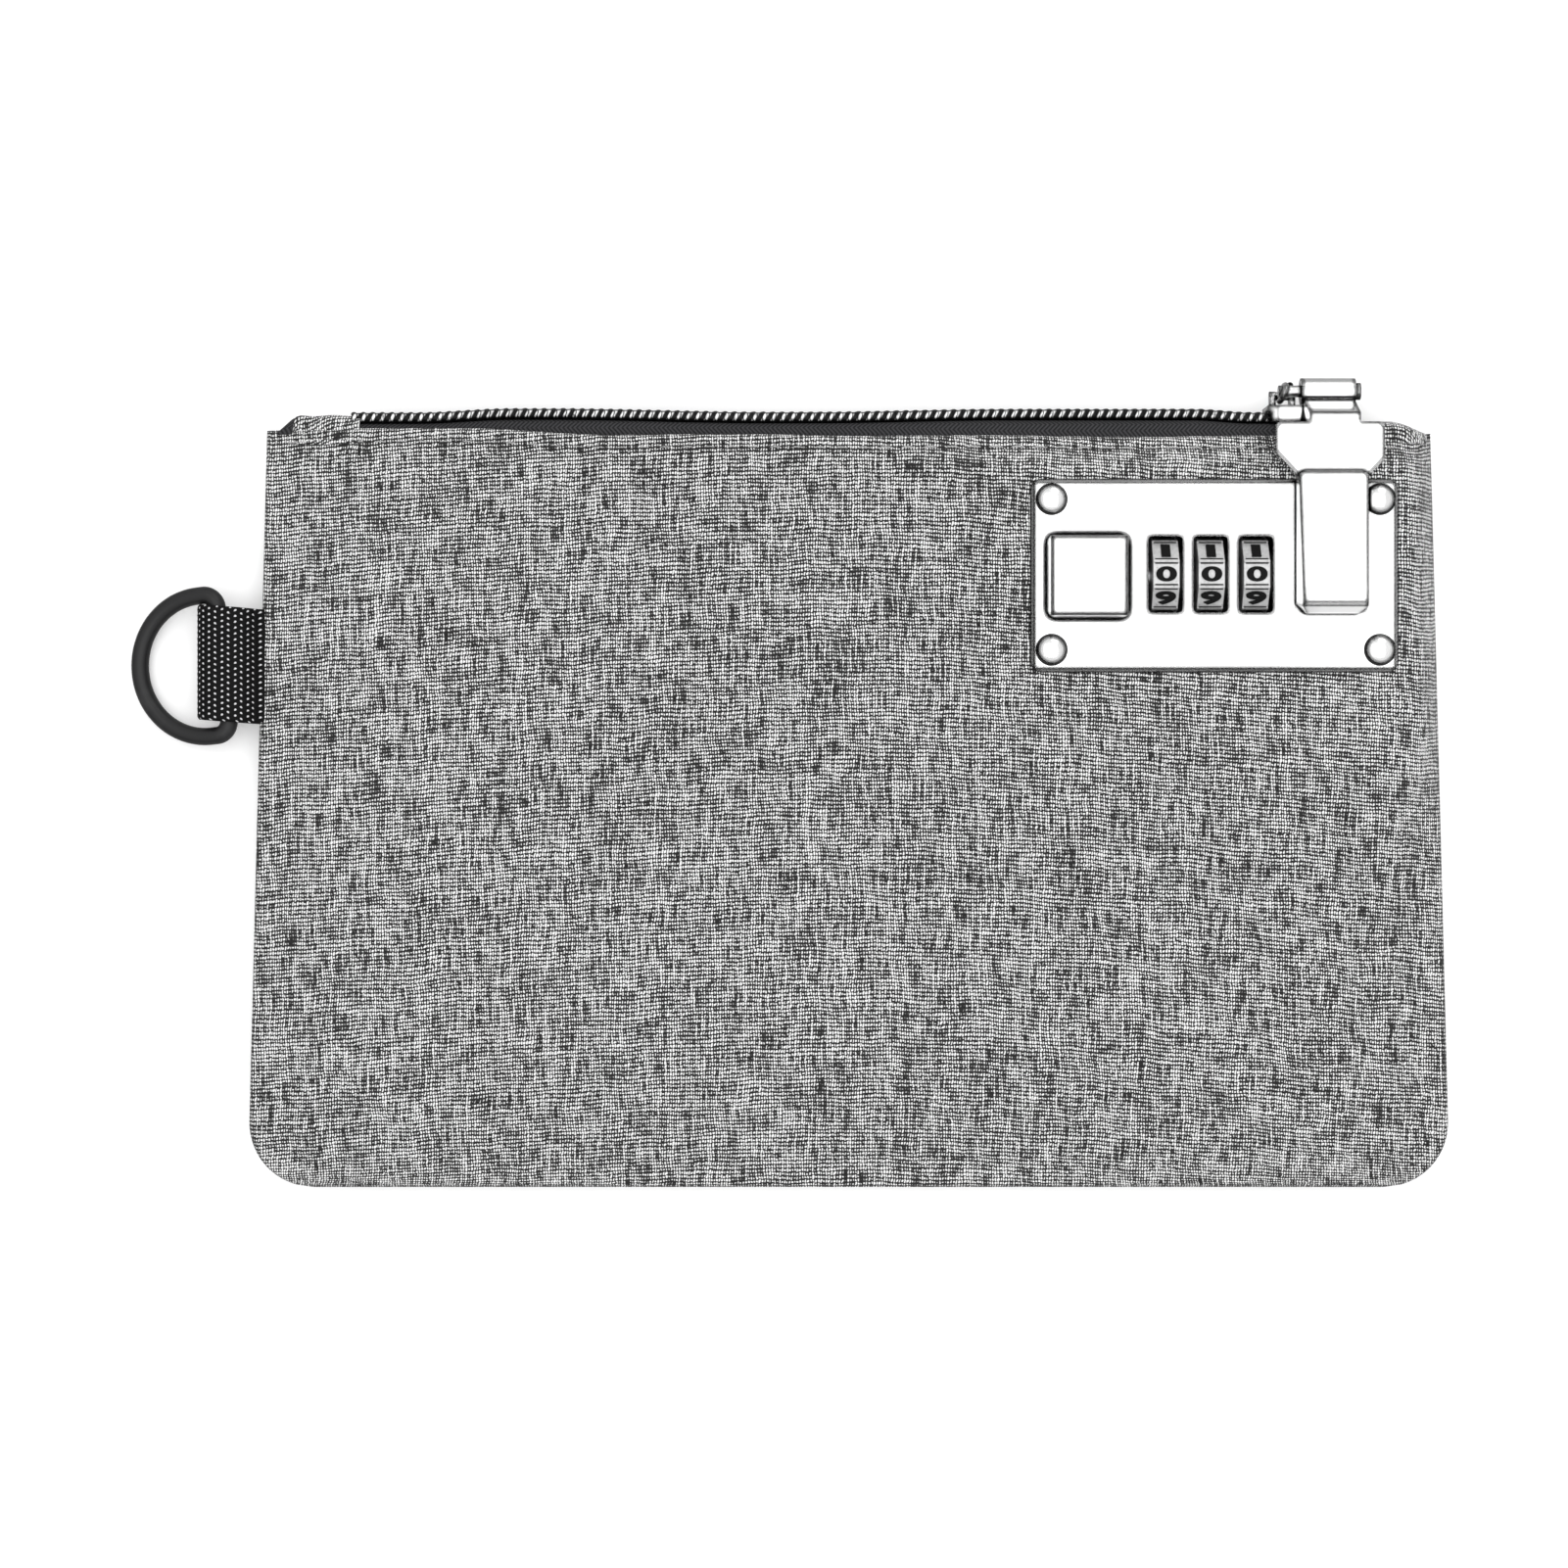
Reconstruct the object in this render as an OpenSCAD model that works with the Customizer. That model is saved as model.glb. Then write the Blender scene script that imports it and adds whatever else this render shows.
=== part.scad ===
// Cash deposit bag: a flat fabric pouch with a zip along its top edge, a combination lock
// on its front and a hasp that joins the zip slider to the lock. It lies on its back:
// +X runs to the lock's side, +Y to the zip and +Z out of the front panel. Units are mm.

/* [Bag] */
// Overall width of the bag body at its bottom seam
bag_width = 254; // [200:1:320]
// Width of the bag body at the zip
top_width = 245; // [190:1:310]
// Y of the bottom seam
bottom_y = -85.2; // [-110:0.1:-60]
// Y of the front panel's top edge
top_y = 74.1; // [60:0.1:90]
// X of the bag body's middle line
bag_x = 12.6; // [0:0.1:30]
// Radius of the two bottom corners
corner_r = 14; // [6:0.5:24]
// Fabric thickness
fabric_t = 0.8; // [0.5:0.1:1.6]
// Height of the side and bottom seams above the table
seam_z = 7; // [5:0.5:10]
// Height from the seam to the inside of the front panel away from the lock
front_swell = 4.8; // [3:0.1:8]
// Extra height of the front panel under the lock
lock_raise = 4.15; // [2:0.05:8]
// Width of the rounded shoulder along the soft edges
shoulder = 30; // [15:1:45]
// Width of the rounded shoulder beside the lock
lock_shoulder = 7; // [5:0.5:12]

/* [Lock] */
// Width of the face plate
plate_w = 76.4; // [60:0.1:90]
// Height of the face plate
plate_h = 40.2; // [30:0.1:50]
// X of the face plate's centre
plate_x = 88.2; // [70:0.1:100]
// Y of the face plate's centre
plate_y = 42.9; // [30:0.1:50]
// Height of the face plate's top above the table
plate_top = 18; // [16:0.1:22]
// Face plate thickness
plate_t = 1.2; // [0.8:0.1:2]
// Distance between number wheels
dial_pitch = 9.36; // [8:0.01:12]
// X of the first number wheel
dial_x = 78.0; // [70:0.1:90]
// Number wheel radius to the corners between digits
dial_r = 8.6; // [7:0.1:9]
// Number wheel width
dial_w = 5.4; // [4:0.1:6]
// Push button width
button_w = 17.3; // [12:0.1:20]
// Push button height along Y
button_h = 17.6; // [12:0.1:20]
// How far the push button stands above the plate
button_rise = 4; // [2:0.1:6]
// Travel of the push button and of the latch bar
press_travel = 2.2; // [1.5:0.1:3]

/* [Hasp and zip] */
// Width of the hasp arm
arm_w = 14.8; // [10:0.1:18]
// X of the hasp arm's middle
arm_x = 112.3; // [105:0.1:118]
// Y of the hasp's hinge pin
pin_y = 81.9; // [78:0.1:88]
// Height of the hasp's hinge pin
pin_z = 10.8; // [9:0.1:13]
// Hinge pin radius
pin_r = 1.25; // [0.9:0.05:1.6]
// Zip coil pitch
coil_pitch = 2; // [1.2:0.1:3]

/* [Carry ring] */
// Wire diameter of the D-ring
ring_wire = 3.7; // [2.5:0.1:5]
// Inside width of the D-ring along its bar
ring_inside = 26; // [20:0.1:40]
// Webbing width
webbing_w = 24.2; // [20:0.1:38]
// Angle of the D-ring below level
ring_drop = 15.3; // [0:0.1:30]

/* [Hidden] */
$fn = 48;
eps = 0.01;
fit = 0.05;

plate_bottom = plate_top - plate_t;
lock_fabric_top = seam_z + front_swell + lock_raise + fabric_t;
lining_t = 0.4;
backing_t = 0.8;
backing_top = seam_z + front_swell + lock_raise - fit;
backing_bottom = backing_top - backing_t;

// Lock case: a shallow tray with a deep well for the wheels.
case_t = 0.8;
case_x0 = plate_x - 36.4;
case_x1 = plate_x + 33;
case_y0 = plate_y - 10.7;
case_y1 = plate_y + 13.1;
case_floor = 6.2;
well_x0 = dial_x - 4.2;
well_x1 = dial_x + 2 * dial_pitch + 8.1;
well_y0 = plate_y - 10.1;
well_y1 = plate_y + 10.5;
well_floor = 1.5;
cutout_gap = 0.4;

// Number wheels and their code cams.
dial_y = plate_y + 0.2;
dial_z = plate_top - 6.6;
dial_count = 3;
digits = 10;
ridge_h = 0.15;
axle_r = 1.95;
cam_len = dial_pitch - dial_w - 0.06;
cam_hub_r = 3.2;
cam_rim_r = 5;
cam_rim_t = 1.2;
gate_w = 2.4;
window_w = 7.1;
window_h = 15.8;

// Rivets that hold the plate to the front panel.
rivet_dx = 34;
rivet_dy = 15.6;
rivet_shank_r = 1.5;
rivet_head_r = 3.35;
rivet_head_h = 1.3;

// Push button and latch.
button_x = plate_x - 26.3;
button_y = plate_y - 0.2;
button_draft = 0.75;
flange_t = 0.7;
flange_lip = 0.45;
flange_z = plate_bottom - 0.2 - flange_t;
wedge_x = button_x + 3.5;
wedge_y = button_y + 4.3;
wedge_w = 4;
wedge_drop = 4.9;
bar_y0 = case_y1 - case_t - 2.2;
bar_y1 = case_y1 - case_t - 0.2;
bar_z0 = 13.6;
bar_z1 = 15.8;
bar_x0 = button_x - 0.9;
nose_x1 = arm_x + 4.9;
nose_y0 = plate_y - 2.9;

// Hasp.
arm_under = plate_top + 0.5;
arm_tip_y = 34.9;
arm_root_y = 64.4;
catch_x = arm_x + 3.9;
catch_w = 2.8;
catch_y = 36.2;
slot_x0 = catch_x - 10;
slot_x1 = catch_x + catch_w + 0.4;
barrel_r = 2.75;
barrel_x0 = 107.1;
barrel_x1 = 118.4;

// Zip chain and slider.
zip_x0 = -89;
coil_x1 = 107.8;
tape_x0 = -89.4;
tape_x1 = 124.5;
tape_low_y = 67;
tape_t = 0.5;
tape_gap = 1.3;
tape_top = top_y + 1.2;
coil_y0 = tape_top + 0.1;
coil_h = 2.4;
coil_out = 3.4;
coil_in = 0.7;
slider_x0 = 100.3;
slider_x1 = 111.4;
slider_half = 4.75;
slider_y0 = coil_y0 + coil_h + 0.2;
slider_t = 1;
slider_top = slider_y0 + slider_t;
bridge_y = slider_top + 2.4;
bridge_z = seam_z - 0.4;
bridge_r = 0.9;
bridge_x0 = slider_x0 + 0.9;
bridge_leg = 1.3;
bridge_len = 5.4;
eye_r = 2.1;

// Carry ring and its webbing.
ring_x = -119.2;
ring_y = 25;
ring_turn = 6;
ring_r = ring_wire / 2;
ring_half = ring_inside / 2 + ring_r;
ring_far = 19.2;
ring_corner = 3;
loop_x0 = -124.7;
loop_t = 1.4;
loop_half = 3.9;

fabric_grey = [0.56, 0.56, 0.57];
lining_black = [0.06, 0.06, 0.065];
black_nylon = [0.05, 0.05, 0.055];
chrome_tint = [0.82, 0.83, 0.85];
steel_tint = [0.62, 0.63, 0.65];
dark_tint = [0.12, 0.12, 0.13];

// Shape of the bag body.

function clamp01(t) = min(1, max(0, t));

function smooth(t) = let (c = clamp01(t)) c * c * (3 - 2 * c);

function rise(d, w) = sin(90 * clamp01(d / w));

function corner_cut(y) =
  y > bottom_y + corner_r ? 0 : corner_r - sqrt(max(0, pow(corner_r, 2) - pow(bottom_y + corner_r - y, 2)));

function half_w(y) =
  (top_width + (bag_width - top_width) * (top_y - y) / (top_y - bottom_y)) / 2 - corner_cut(y);

// Shoulder width on the lock's side, which widens towards the bottom.
function right_shoulder(y) =
  lock_shoulder + (shoulder - lock_shoulder) * (1 - smooth((y + 45) / 60));

function swell(x, y) =
  let (
    inside = half_w(y) - abs(x - bag_x),
    w = x > bag_x ? right_shoulder(y) : shoulder
  )
  rise(inside, w) * rise(y - bottom_y, shoulder);

function lock_lift(x, y) =
  smooth((x - (plate_x - 84)) / 43)
  * smooth((y - (plate_y - 70)) / 47)
  * smooth((top_y + 0.4 - y) / 9.6);

// Inside faces of the two panels.
function front_in(x, y) = seam_z + (front_swell + lock_raise * lock_lift(x, y)) * swell(x, y);

function back_in(x, y) =
  seam_z - (seam_z - fabric_t - 1.4 * smooth((y - 58) / 16)) * swell(x, y);

// Rows and columns of the fabric grids, closer together near the edges.
edge_steps = [0, 0.7, 1.6, 2.8, 4.3, 6, 8, 11, 15, 20.9, 30];
mid_steps = [45, 60, 75, 90, 105, 120, 135, 150, 161, 172, 183, 195, 203, 211];
col_mm = concat(edge_steps, mid_steps, [for (i = [len(edge_steps) - 1:-1:0]) 250 - edge_steps[i]]);
cols = [for (c = col_mm) c / 125 - 1];
row_low = [0, 0.6, 1.4, 2.6, 4.2, 6.5, 9.5, 14, 20, 28];
row_mid = [38, 50, 62, 74, 86, 96, 104, 112, 125, 140, 146, 149.5, 153, 156, 158];
rows_y = concat([for (r = concat(row_low, row_mid)) bottom_y + r], [top_y]);

function patch(us, ys) = [for (y = ys) [for (u = us) [bag_x + u * half_w(y), y]]];

// Faces of a closed sheet: a grid of top points followed by the same grid underneath.
function sheet_faces(n, m) =
  let (s = n * m)
  concat(
    [for (j = [0:m - 2]) for (i = [0:n - 2]) each [
      [j * n + i, (j + 1) * n + i, (j + 1) * n + i + 1],
      [j * n + i, (j + 1) * n + i + 1, j * n + i + 1],
      [s + j * n + i, s + (j + 1) * n + i + 1, s + (j + 1) * n + i],
      [s + j * n + i, s + j * n + i + 1, s + (j + 1) * n + i + 1]
    ]],
    [for (i = [0:n - 2]) each [
      [i, i + 1, s + i + 1],
      [i, s + i + 1, s + i],
      [s - n + i + 1, s - n + i, 2 * s - n + i],
      [s - n + i + 1, 2 * s - n + i, 2 * s - n + i + 1]
    ]],
    [for (j = [0:m - 2]) each [
      [(j + 1) * n, j * n, s + j * n],
      [(j + 1) * n, s + j * n, s + (j + 1) * n],
      [j * n + n - 1, (j + 1) * n + n - 1, s + (j + 1) * n + n - 1],
      [j * n + n - 1, s + (j + 1) * n + n - 1, s + j * n + n - 1]
    ]]
  );

module sheet(top_rows, under_rows) {
  flat_top = [for (r = top_rows) each r];
  flat_under = [for (r = under_rows) each r];
  polyhedron(
    points = concat(flat_top, flat_under),
    faces = sheet_faces(len(top_rows[0]), len(top_rows)),
    convexity = 6
  );
}

module front_sheet(us, ys, up, down) {
  grid = patch(us, ys);
  sheet(
    [for (r = grid) [for (p = r) [p.x, p.y, front_in(p.x, p.y) + up]]],
    [for (r = grid) [for (p = r) [p.x, p.y, front_in(p.x, p.y) - down]]]
  );
}

module back_sheet(us, ys, up, down) {
  grid = patch(us, ys);
  sheet(
    [for (r = grid) [for (p = r) [p.x, p.y, back_in(p.x, p.y) + up]]],
    [for (r = grid) [for (p = r) [p.x, p.y, back_in(p.x, p.y) - down]]]
  );
}

module box(x0, x1, y0, y1, z0, z1) {
  translate([x0, y0, z0])
    cube([x1 - x0, y1 - y0, z1 - z0]);
}

module x_rod(x0, x1, y, z, r) {
  translate([x0, y, z])
    rotate([0, 90, 0])
      cylinder(h = x1 - x0, r = r);
}

// A profile given as [y, z] points, drawn out along X.
module x_prism(x0, x1, pts) {
  translate([x0, 0, 0])
    rotate([90, 0, 90])
      linear_extrude(height = x1 - x0)
        polygon(pts);
}

// A profile given as [x, z] points, drawn out along Y.
module y_prism(y0, y1, pts) {
  translate([0, y1, 0])
    rotate([90, 0, 0])
      linear_extrude(height = y1 - y0)
        polygon(pts);
}

module rounded_plate(w, h, r, z0, z1) {
  translate([0, 0, z0])
    linear_extrude(height = z1 - z0) {
      square([w - 2 * r, h], center = true);
      square([w, h - 2 * r], center = true);
      for (sx = [-1, 1])
        for (sy = [-1, 1])
          translate([sx * (w / 2 - r), sy * (h / 2 - r)])
            circle(r = r);
    }
}

module at_rivets() {
  for (sx = [-1, 1])
    for (sy = [-1, 1])
      translate([plate_x + 0.2 + sx * rivet_dx, plate_y + 0.2 + sy * rivet_dy, 0])
        children();
}

module lock_opening() {
  box(case_x0 - cutout_gap, case_x1 + cutout_gap, case_y0 - cutout_gap, case_y1 + cutout_gap, 14, 18);
  at_rivets()
    translate([0, 0, 14])
      cylinder(h = 4, r = rivet_shank_r + fit);
}

// Soft pieces.

module front_panel() {
  color(fabric_grey)
    difference() {
      front_sheet(cols, rows_y, fabric_t, 0);
      lock_opening();
    }
}

module back_panel() {
  color(fabric_grey)
    back_sheet(cols, rows_y, 0, fabric_t);
}

// The linings share the panels' rows and columns, so they lie parallel to them.
lining_rows = [for (y = rows_y) if (y > bottom_y + 9 && y < tape_low_y - 1) y];
lining_cols = [for (u = cols) if (abs(u) < 0.955) u];

module lining_front() {
  color(lining_black)
    difference() {
      front_sheet(lining_cols, lining_rows, -0.1, 0.1 + lining_t);
      box(
        plate_x - plate_w / 2 - 0.6, plate_x + plate_w / 2 + 0.6,
        plate_y - plate_h / 2 - 0.6, plate_y + plate_h / 2 + 3, 6, 18
      );
    }
}

module lining_back() {
  color(lining_black)
    back_sheet(lining_cols, lining_rows, 0.1 + lining_t, -0.1);
}

// One zip tape: it lies inside the panel and turns towards the chain at the top.
// side is 1 for the front tape and -1 for the back tape.
module zip_tape(side) {
  us = [for (u = cols) if (bag_x + u * half_w(top_y) > tape_x0 - 0.2 && bag_x + u * half_w(top_y) < tape_x1) u];
  ys = [for (y = rows_y) if (y > tape_low_y) y];
  m = len(ys);
  edge = seam_z + side * tape_gap;
  n = 2 * m + 4;
  pts = [for (u = us)
    let (
      xs = [for (y = ys) bag_x + u * half_w(y)],
      zs = [for (k = [0:m - 1]) (side > 0 ? front_in(xs[k], ys[k]) : back_in(xs[k], ys[k])) - side * fit],
      x = xs[m - 1],
      z = zs[m - 1],
      low_z = z - side * tape_t,
      low_y = tape_top - tape_t
    )
    each concat(
      [for (k = [0:m - 1]) [xs[k], ys[k], zs[k]]],
      [[x, tape_top, z], [x, tape_top, edge], [x, low_y, edge], [x, low_y, low_z]],
      [for (k = [m - 1:-1:0]) [xs[k], ys[k], zs[k] - side * tape_t]]
    )
  ];
  last = n * (len(us) - 1);
  walls = [for (i = [0:len(us) - 2]) for (k = [0:n - 1]) each [
    [i * n + k, i * n + (k + 1) % n, (i + 1) * n + (k + 1) % n],
    [i * n + k, (i + 1) * n + (k + 1) % n, (i + 1) * n + k]
  ]];
  ends = [[for (k = [n - 1:-1:0]) k], [for (k = [0:n - 1]) last + k]];
  all_faces = concat(walls, ends);
  polyhedron(
    points = pts,
    faces = side > 0 ? [for (f = all_faces) [for (k = [len(f) - 1:-1:0]) f[k]]] : all_faces,
    convexity = 6
  );
}

module zip_tape_front() {
  color(black_nylon)
    zip_tape(1);
}

module zip_tape_back() {
  color(black_nylon)
    zip_tape(-1);
}

// One half of the chain: a back strip with a loop end at every pitch.
module coil_half(side, shift) {
  count = floor((coil_x1 - zip_x0 - 1.5) / coil_pitch);
  back_z = seam_z + side * coil_out;
  root_z = seam_z + side * 1.1;
  tip_z = seam_z - side * coil_in;
  y_prism(coil_y0, coil_y0 + coil_h, concat(
    [[zip_x0, back_z], [zip_x0, root_z]],
    [for (i = [0:count - 1]) each [
      [zip_x0 + 0.4 + shift + i * coil_pitch, root_z],
      [zip_x0 + 0.4 + shift + i * coil_pitch, tip_z],
      [zip_x0 + 1.3 + shift + i * coil_pitch, tip_z],
      [zip_x0 + 1.3 + shift + i * coil_pitch, root_z]
    ]],
    [[coil_x1, root_z], [coil_x1, back_z]]
  ));
}

module zip_coil_front() {
  color(black_nylon)
    coil_half(1, 0);
}

module zip_coil_back() {
  color(black_nylon)
    coil_half(-1, coil_pitch / 2);
}

// A fold of panel fabric that caps one end of the zip.
module end_tab(x0, x1) {
  difference() {
    box(x0, x1, top_y + 0.1, top_y + 3.3, seam_z - 2.9, seam_z + 2.9);
    box(x0 - 1, x1 + 1, top_y, top_y + 2.5, seam_z - 2.1, seam_z + 2.1);
  }
}

module zip_end_tab_left() {
  color(fabric_grey)
    end_tab(-106, -90);
}

module zip_end_tab_right() {
  color(fabric_grey)
    end_tab(124.6, 133.4);
}

module webbing_loop() {
  straight_x1 = -113;
  bend_x = loop_x0 + loop_half;
  color(black_nylon)
    translate([0, ring_y + webbing_w / 2, seam_z])
      rotate([90, 0, 0])
        linear_extrude(height = webbing_w)
          difference() {
            union() {
              translate([bend_x, 0])
                circle(r = loop_half);
              translate([bend_x, -loop_half])
                square([straight_x1 - 2 - bend_x, 2 * loop_half]);
              polygon([
                [straight_x1 - 2.05, -loop_half], [straight_x1 + 0.6, -loop_t], [-108, -0.7],
                [-108, 0.7], [straight_x1 + 0.6, loop_t], [straight_x1 - 2.05, loop_half]
              ]);
            }
            translate([bend_x, 0])
              circle(r = loop_half - loop_t);
            translate([bend_x, loop_t - loop_half])
              square([straight_x1 - 1.4 - bend_x, 2 * (loop_half - loop_t)]);
          }
}

// The ring lies in its own plane, its bar on the Y axis and its arc towards -X.
module ring_flat() {
  arc_x = ring_half - ring_far;
  translate([arc_x, 0, 0])
    rotate([0, 0, 90])
      rotate_extrude(angle = 180)
        translate([ring_half, 0])
          circle(r = ring_r);
  for (s = [-1, 1]) {
    translate([arc_x, s * ring_half, 0])
      rotate([0, 90, 0])
        cylinder(h = -ring_corner - arc_x, r = ring_r);
    translate([-ring_corner, s * (ring_half - ring_corner), 0])
      rotate([0, 0, s > 0 ? 0 : -90])
        rotate_extrude(angle = 90)
          translate([ring_corner, 0])
            circle(r = ring_r);
  }
  translate([0, ring_corner - ring_half, 0])
    rotate([-90, 0, 0])
      cylinder(h = 2 * (ring_half - ring_corner), r = ring_r);
}

module d_ring() {
  color(dark_tint)
    translate([ring_x, ring_y, seam_z])
      rotate([0, 0, ring_turn])
        rotate([0, -ring_drop, 0])
          ring_flat();
}

// Lock.

module plate_blank() {
  bevel = 0.9;
  intersection() {
    translate([plate_x, plate_y, 0])
      rounded_plate(plate_w, plate_h, 2.5, plate_bottom, plate_top);
    y_prism(plate_y - plate_h, plate_y + plate_h, [
      [plate_x - plate_w / 2, plate_bottom],
      [plate_x + plate_w / 2, plate_bottom],
      [plate_x + plate_w / 2, plate_top - bevel],
      [plate_x + plate_w / 2 - bevel, plate_top],
      [plate_x - plate_w / 2 + bevel, plate_top],
      [plate_x - plate_w / 2, plate_top - bevel]
    ]);
    x_prism(plate_x - plate_w, plate_x + plate_w, [
      [plate_y - plate_h / 2, plate_bottom],
      [plate_y + plate_h / 2, plate_bottom],
      [plate_y + plate_h / 2, plate_top - bevel],
      [plate_y + plate_h / 2 - bevel, plate_top],
      [plate_y - plate_h / 2 + bevel, plate_top],
      [plate_y - plate_h / 2, plate_top - bevel]
    ]);
  }
}

module lock_plate() {
  color(chrome_tint)
    difference() {
      plate_blank();
      translate([button_x, button_y, 0])
        rounded_plate(button_w + 0.3, button_h + 0.3, 2.4, plate_bottom - 1, plate_top + 1);
      for (i = [0:dial_count - 1])
        translate([dial_x + i * dial_pitch, dial_y, 0])
          rounded_plate(window_w, window_h, 0.8, plate_bottom - 1, plate_top + 1);
      box(slot_x0, slot_x1, catch_y - 0.5, catch_y + 3.6, plate_bottom - 1, plate_top + 1);
      at_rivets()
        translate([0, 0, plate_bottom - 1])
          cylinder(h = plate_t + 2, r = rivet_shank_r + fit);
    }
}

module rivets() {
  dome_r = (pow(rivet_head_r, 2) + pow(rivet_head_h, 2)) / (2 * rivet_head_h);
  color(chrome_tint)
    at_rivets() {
      translate([0, 0, backing_bottom - 0.6])
        cylinder(h = plate_top - backing_bottom + 0.7, r = rivet_shank_r);
      translate([0, 0, backing_bottom - 0.6])
        cylinder(h = 0.6, r = 2.6);
      intersection() {
        translate([0, 0, plate_top + rivet_head_h - dome_r])
          sphere(r = dome_r);
        translate([0, 0, plate_top])
          cylinder(h = rivet_head_h + 1, r = rivet_head_r);
      }
    }
}

module backing_plate() {
  color(steel_tint)
    difference() {
      translate([plate_x, plate_y, 0])
        rounded_plate(plate_w - 1, plate_h - 0.8, 2, backing_bottom, backing_top);
      lock_opening();
    }
}

module lock_case() {
  color(dark_tint)
    difference() {
      union() {
        box(case_x0, case_x1, case_y0, case_y1, case_floor, plate_bottom);
        box(well_x0, well_x1, well_y0, well_y1, well_floor, case_floor + 1);
      }
      difference() {
        box(case_x0 + case_t, case_x1 - case_t, case_y0 + case_t, case_y1 - case_t, case_floor + case_t, plate_top);
        for (x = [well_x0, well_x1 - case_t])
          box(x, x + case_t, dial_y - 4, dial_y + 4, case_floor, dial_z + 3.2);
      }
      box(well_x0 + case_t, well_x1 - case_t, well_y0 + case_t, well_y1 - case_t, well_floor + 0.7, plate_top);
      x_rod(well_x0 - 1, well_x1 + 1, dial_y, dial_z, axle_r + fit);
    }
}

module dial_axle() {
  color(steel_tint)
    x_rod(well_x0, well_x1, dial_y, dial_z, axle_r);
}

// A ten-sided wheel with a ridge between neighbouring digits.
module dial(i) {
  x = dial_x + i * dial_pitch;
  color(chrome_tint)
    translate([x, dial_y, dial_z])
      rotate([0, 90, 0])
        difference() {
          union() {
            rotate([0, 0, 180 / digits])
              cylinder(h = dial_w, r = dial_r, center = true, $fn = digits);
            for (k = [0:digits - 1])
              rotate([0, 0, (k + 0.5) * 360 / digits])
                translate([dial_r - 0.9, -0.28, -dial_w / 2])
                  cube([0.9 + ridge_h, 0.56, dial_w]);
          }
          cylinder(h = dial_w + 2, r = axle_r + fit, center = true);
        }
}

module dial_1() {
  dial(0);
}

module dial_2() {
  dial(1);
}

module dial_3() {
  dial(2);
}

// A hub with a notched rim; the notch faces the latch bar at the set code.
module cam(i) {
  x = dial_x + i * dial_pitch + dial_w / 2 + 0.02;
  color(steel_tint)
    difference() {
      union() {
        x_rod(x, x + cam_len, dial_y, dial_z, cam_hub_r);
        x_rod(x + 0.5, x + 0.5 + cam_rim_t, dial_y, dial_z, cam_rim_r);
      }
      x_rod(x - 1, x + cam_len + 1, dial_y, dial_z, axle_r + fit);
      box(x, x + 2, dial_y + cam_hub_r + 0.2, dial_y + cam_rim_r + 1, dial_z - gate_w / 2, dial_z + gate_w / 2);
    }
}

module dial_cam_1() {
  cam(0);
}

module dial_cam_2() {
  cam(1);
}

module dial_cam_3() {
  cam(2);
}

module detent_spring() {
  wall = case_y0 + case_t;
  color(steel_tint) {
    box(dial_x - 2, dial_x + 2 * dial_pitch + 2, wall, wall + 0.35, 12, 15.6);
    for (i = [0:dial_count - 1])
      x_prism(dial_x + i * dial_pitch - 1.6, dial_x + i * dial_pitch + 1.6, [
        [wall, 12.2], [wall, 12], [wall + 0.55, 9.6], [wall + 0.1, 7.7],
        [wall + 0.4, 7.7], [wall + 0.9, 9.6], [wall + 0.35, 12], [wall + 0.35, 12.2]
      ]);
  }
}

module release_button() {
  cap_w = button_w - 2 * button_draft;
  cap_h = button_h - 1.2;
  top = plate_top + button_rise;
  color(chrome_tint)
    difference() {
      union() {
        intersection() {
          translate([button_x, button_y, 0])
            rounded_plate(button_w, button_h, 2.3, flange_z, top);
          y_prism(button_y - button_h, button_y + button_h, [
            [button_x - button_w / 2, flange_z],
            [button_x + button_w / 2, flange_z],
            [button_x + button_w / 2, plate_top],
            [button_x + cap_w / 2, top - 0.4],
            [button_x + cap_w / 2 - 0.4, top],
            [button_x - cap_w / 2 + 0.4, top],
            [button_x - cap_w / 2, top - 0.4],
            [button_x - button_w / 2, plate_top]
          ]);
          x_prism(button_x - button_w, button_x + button_w, [
            [button_y - button_h / 2, flange_z],
            [button_y + button_h / 2, flange_z],
            [button_y + button_h / 2, plate_top],
            [button_y + cap_h / 2, top - 0.4],
            [button_y + cap_h / 2 - 0.4, top],
            [button_y - cap_h / 2 + 0.4, top],
            [button_y - cap_h / 2, top - 0.4],
            [button_y - button_h / 2, plate_top]
          ]);
        }
        translate([button_x, button_y, 0])
          rounded_plate(button_w + 2 * flange_lip, button_h + 2 * flange_lip, 2, flange_z, flange_z + flange_t);
        y_prism(wedge_y, wedge_y + wedge_w, [
          [wedge_x, flange_z + eps], [wedge_x, flange_z - 0.5],
          [wedge_x + wedge_drop - 0.5, flange_z - wedge_drop],
          [wedge_x + wedge_drop + 0.3, flange_z - wedge_drop],
          [wedge_x + wedge_drop + 0.3, flange_z + eps]
        ]);
      }
      translate([button_x, button_y - 0.8, flange_z - 1])
        cylinder(h = 4, r = 3.4);
    }
}

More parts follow.
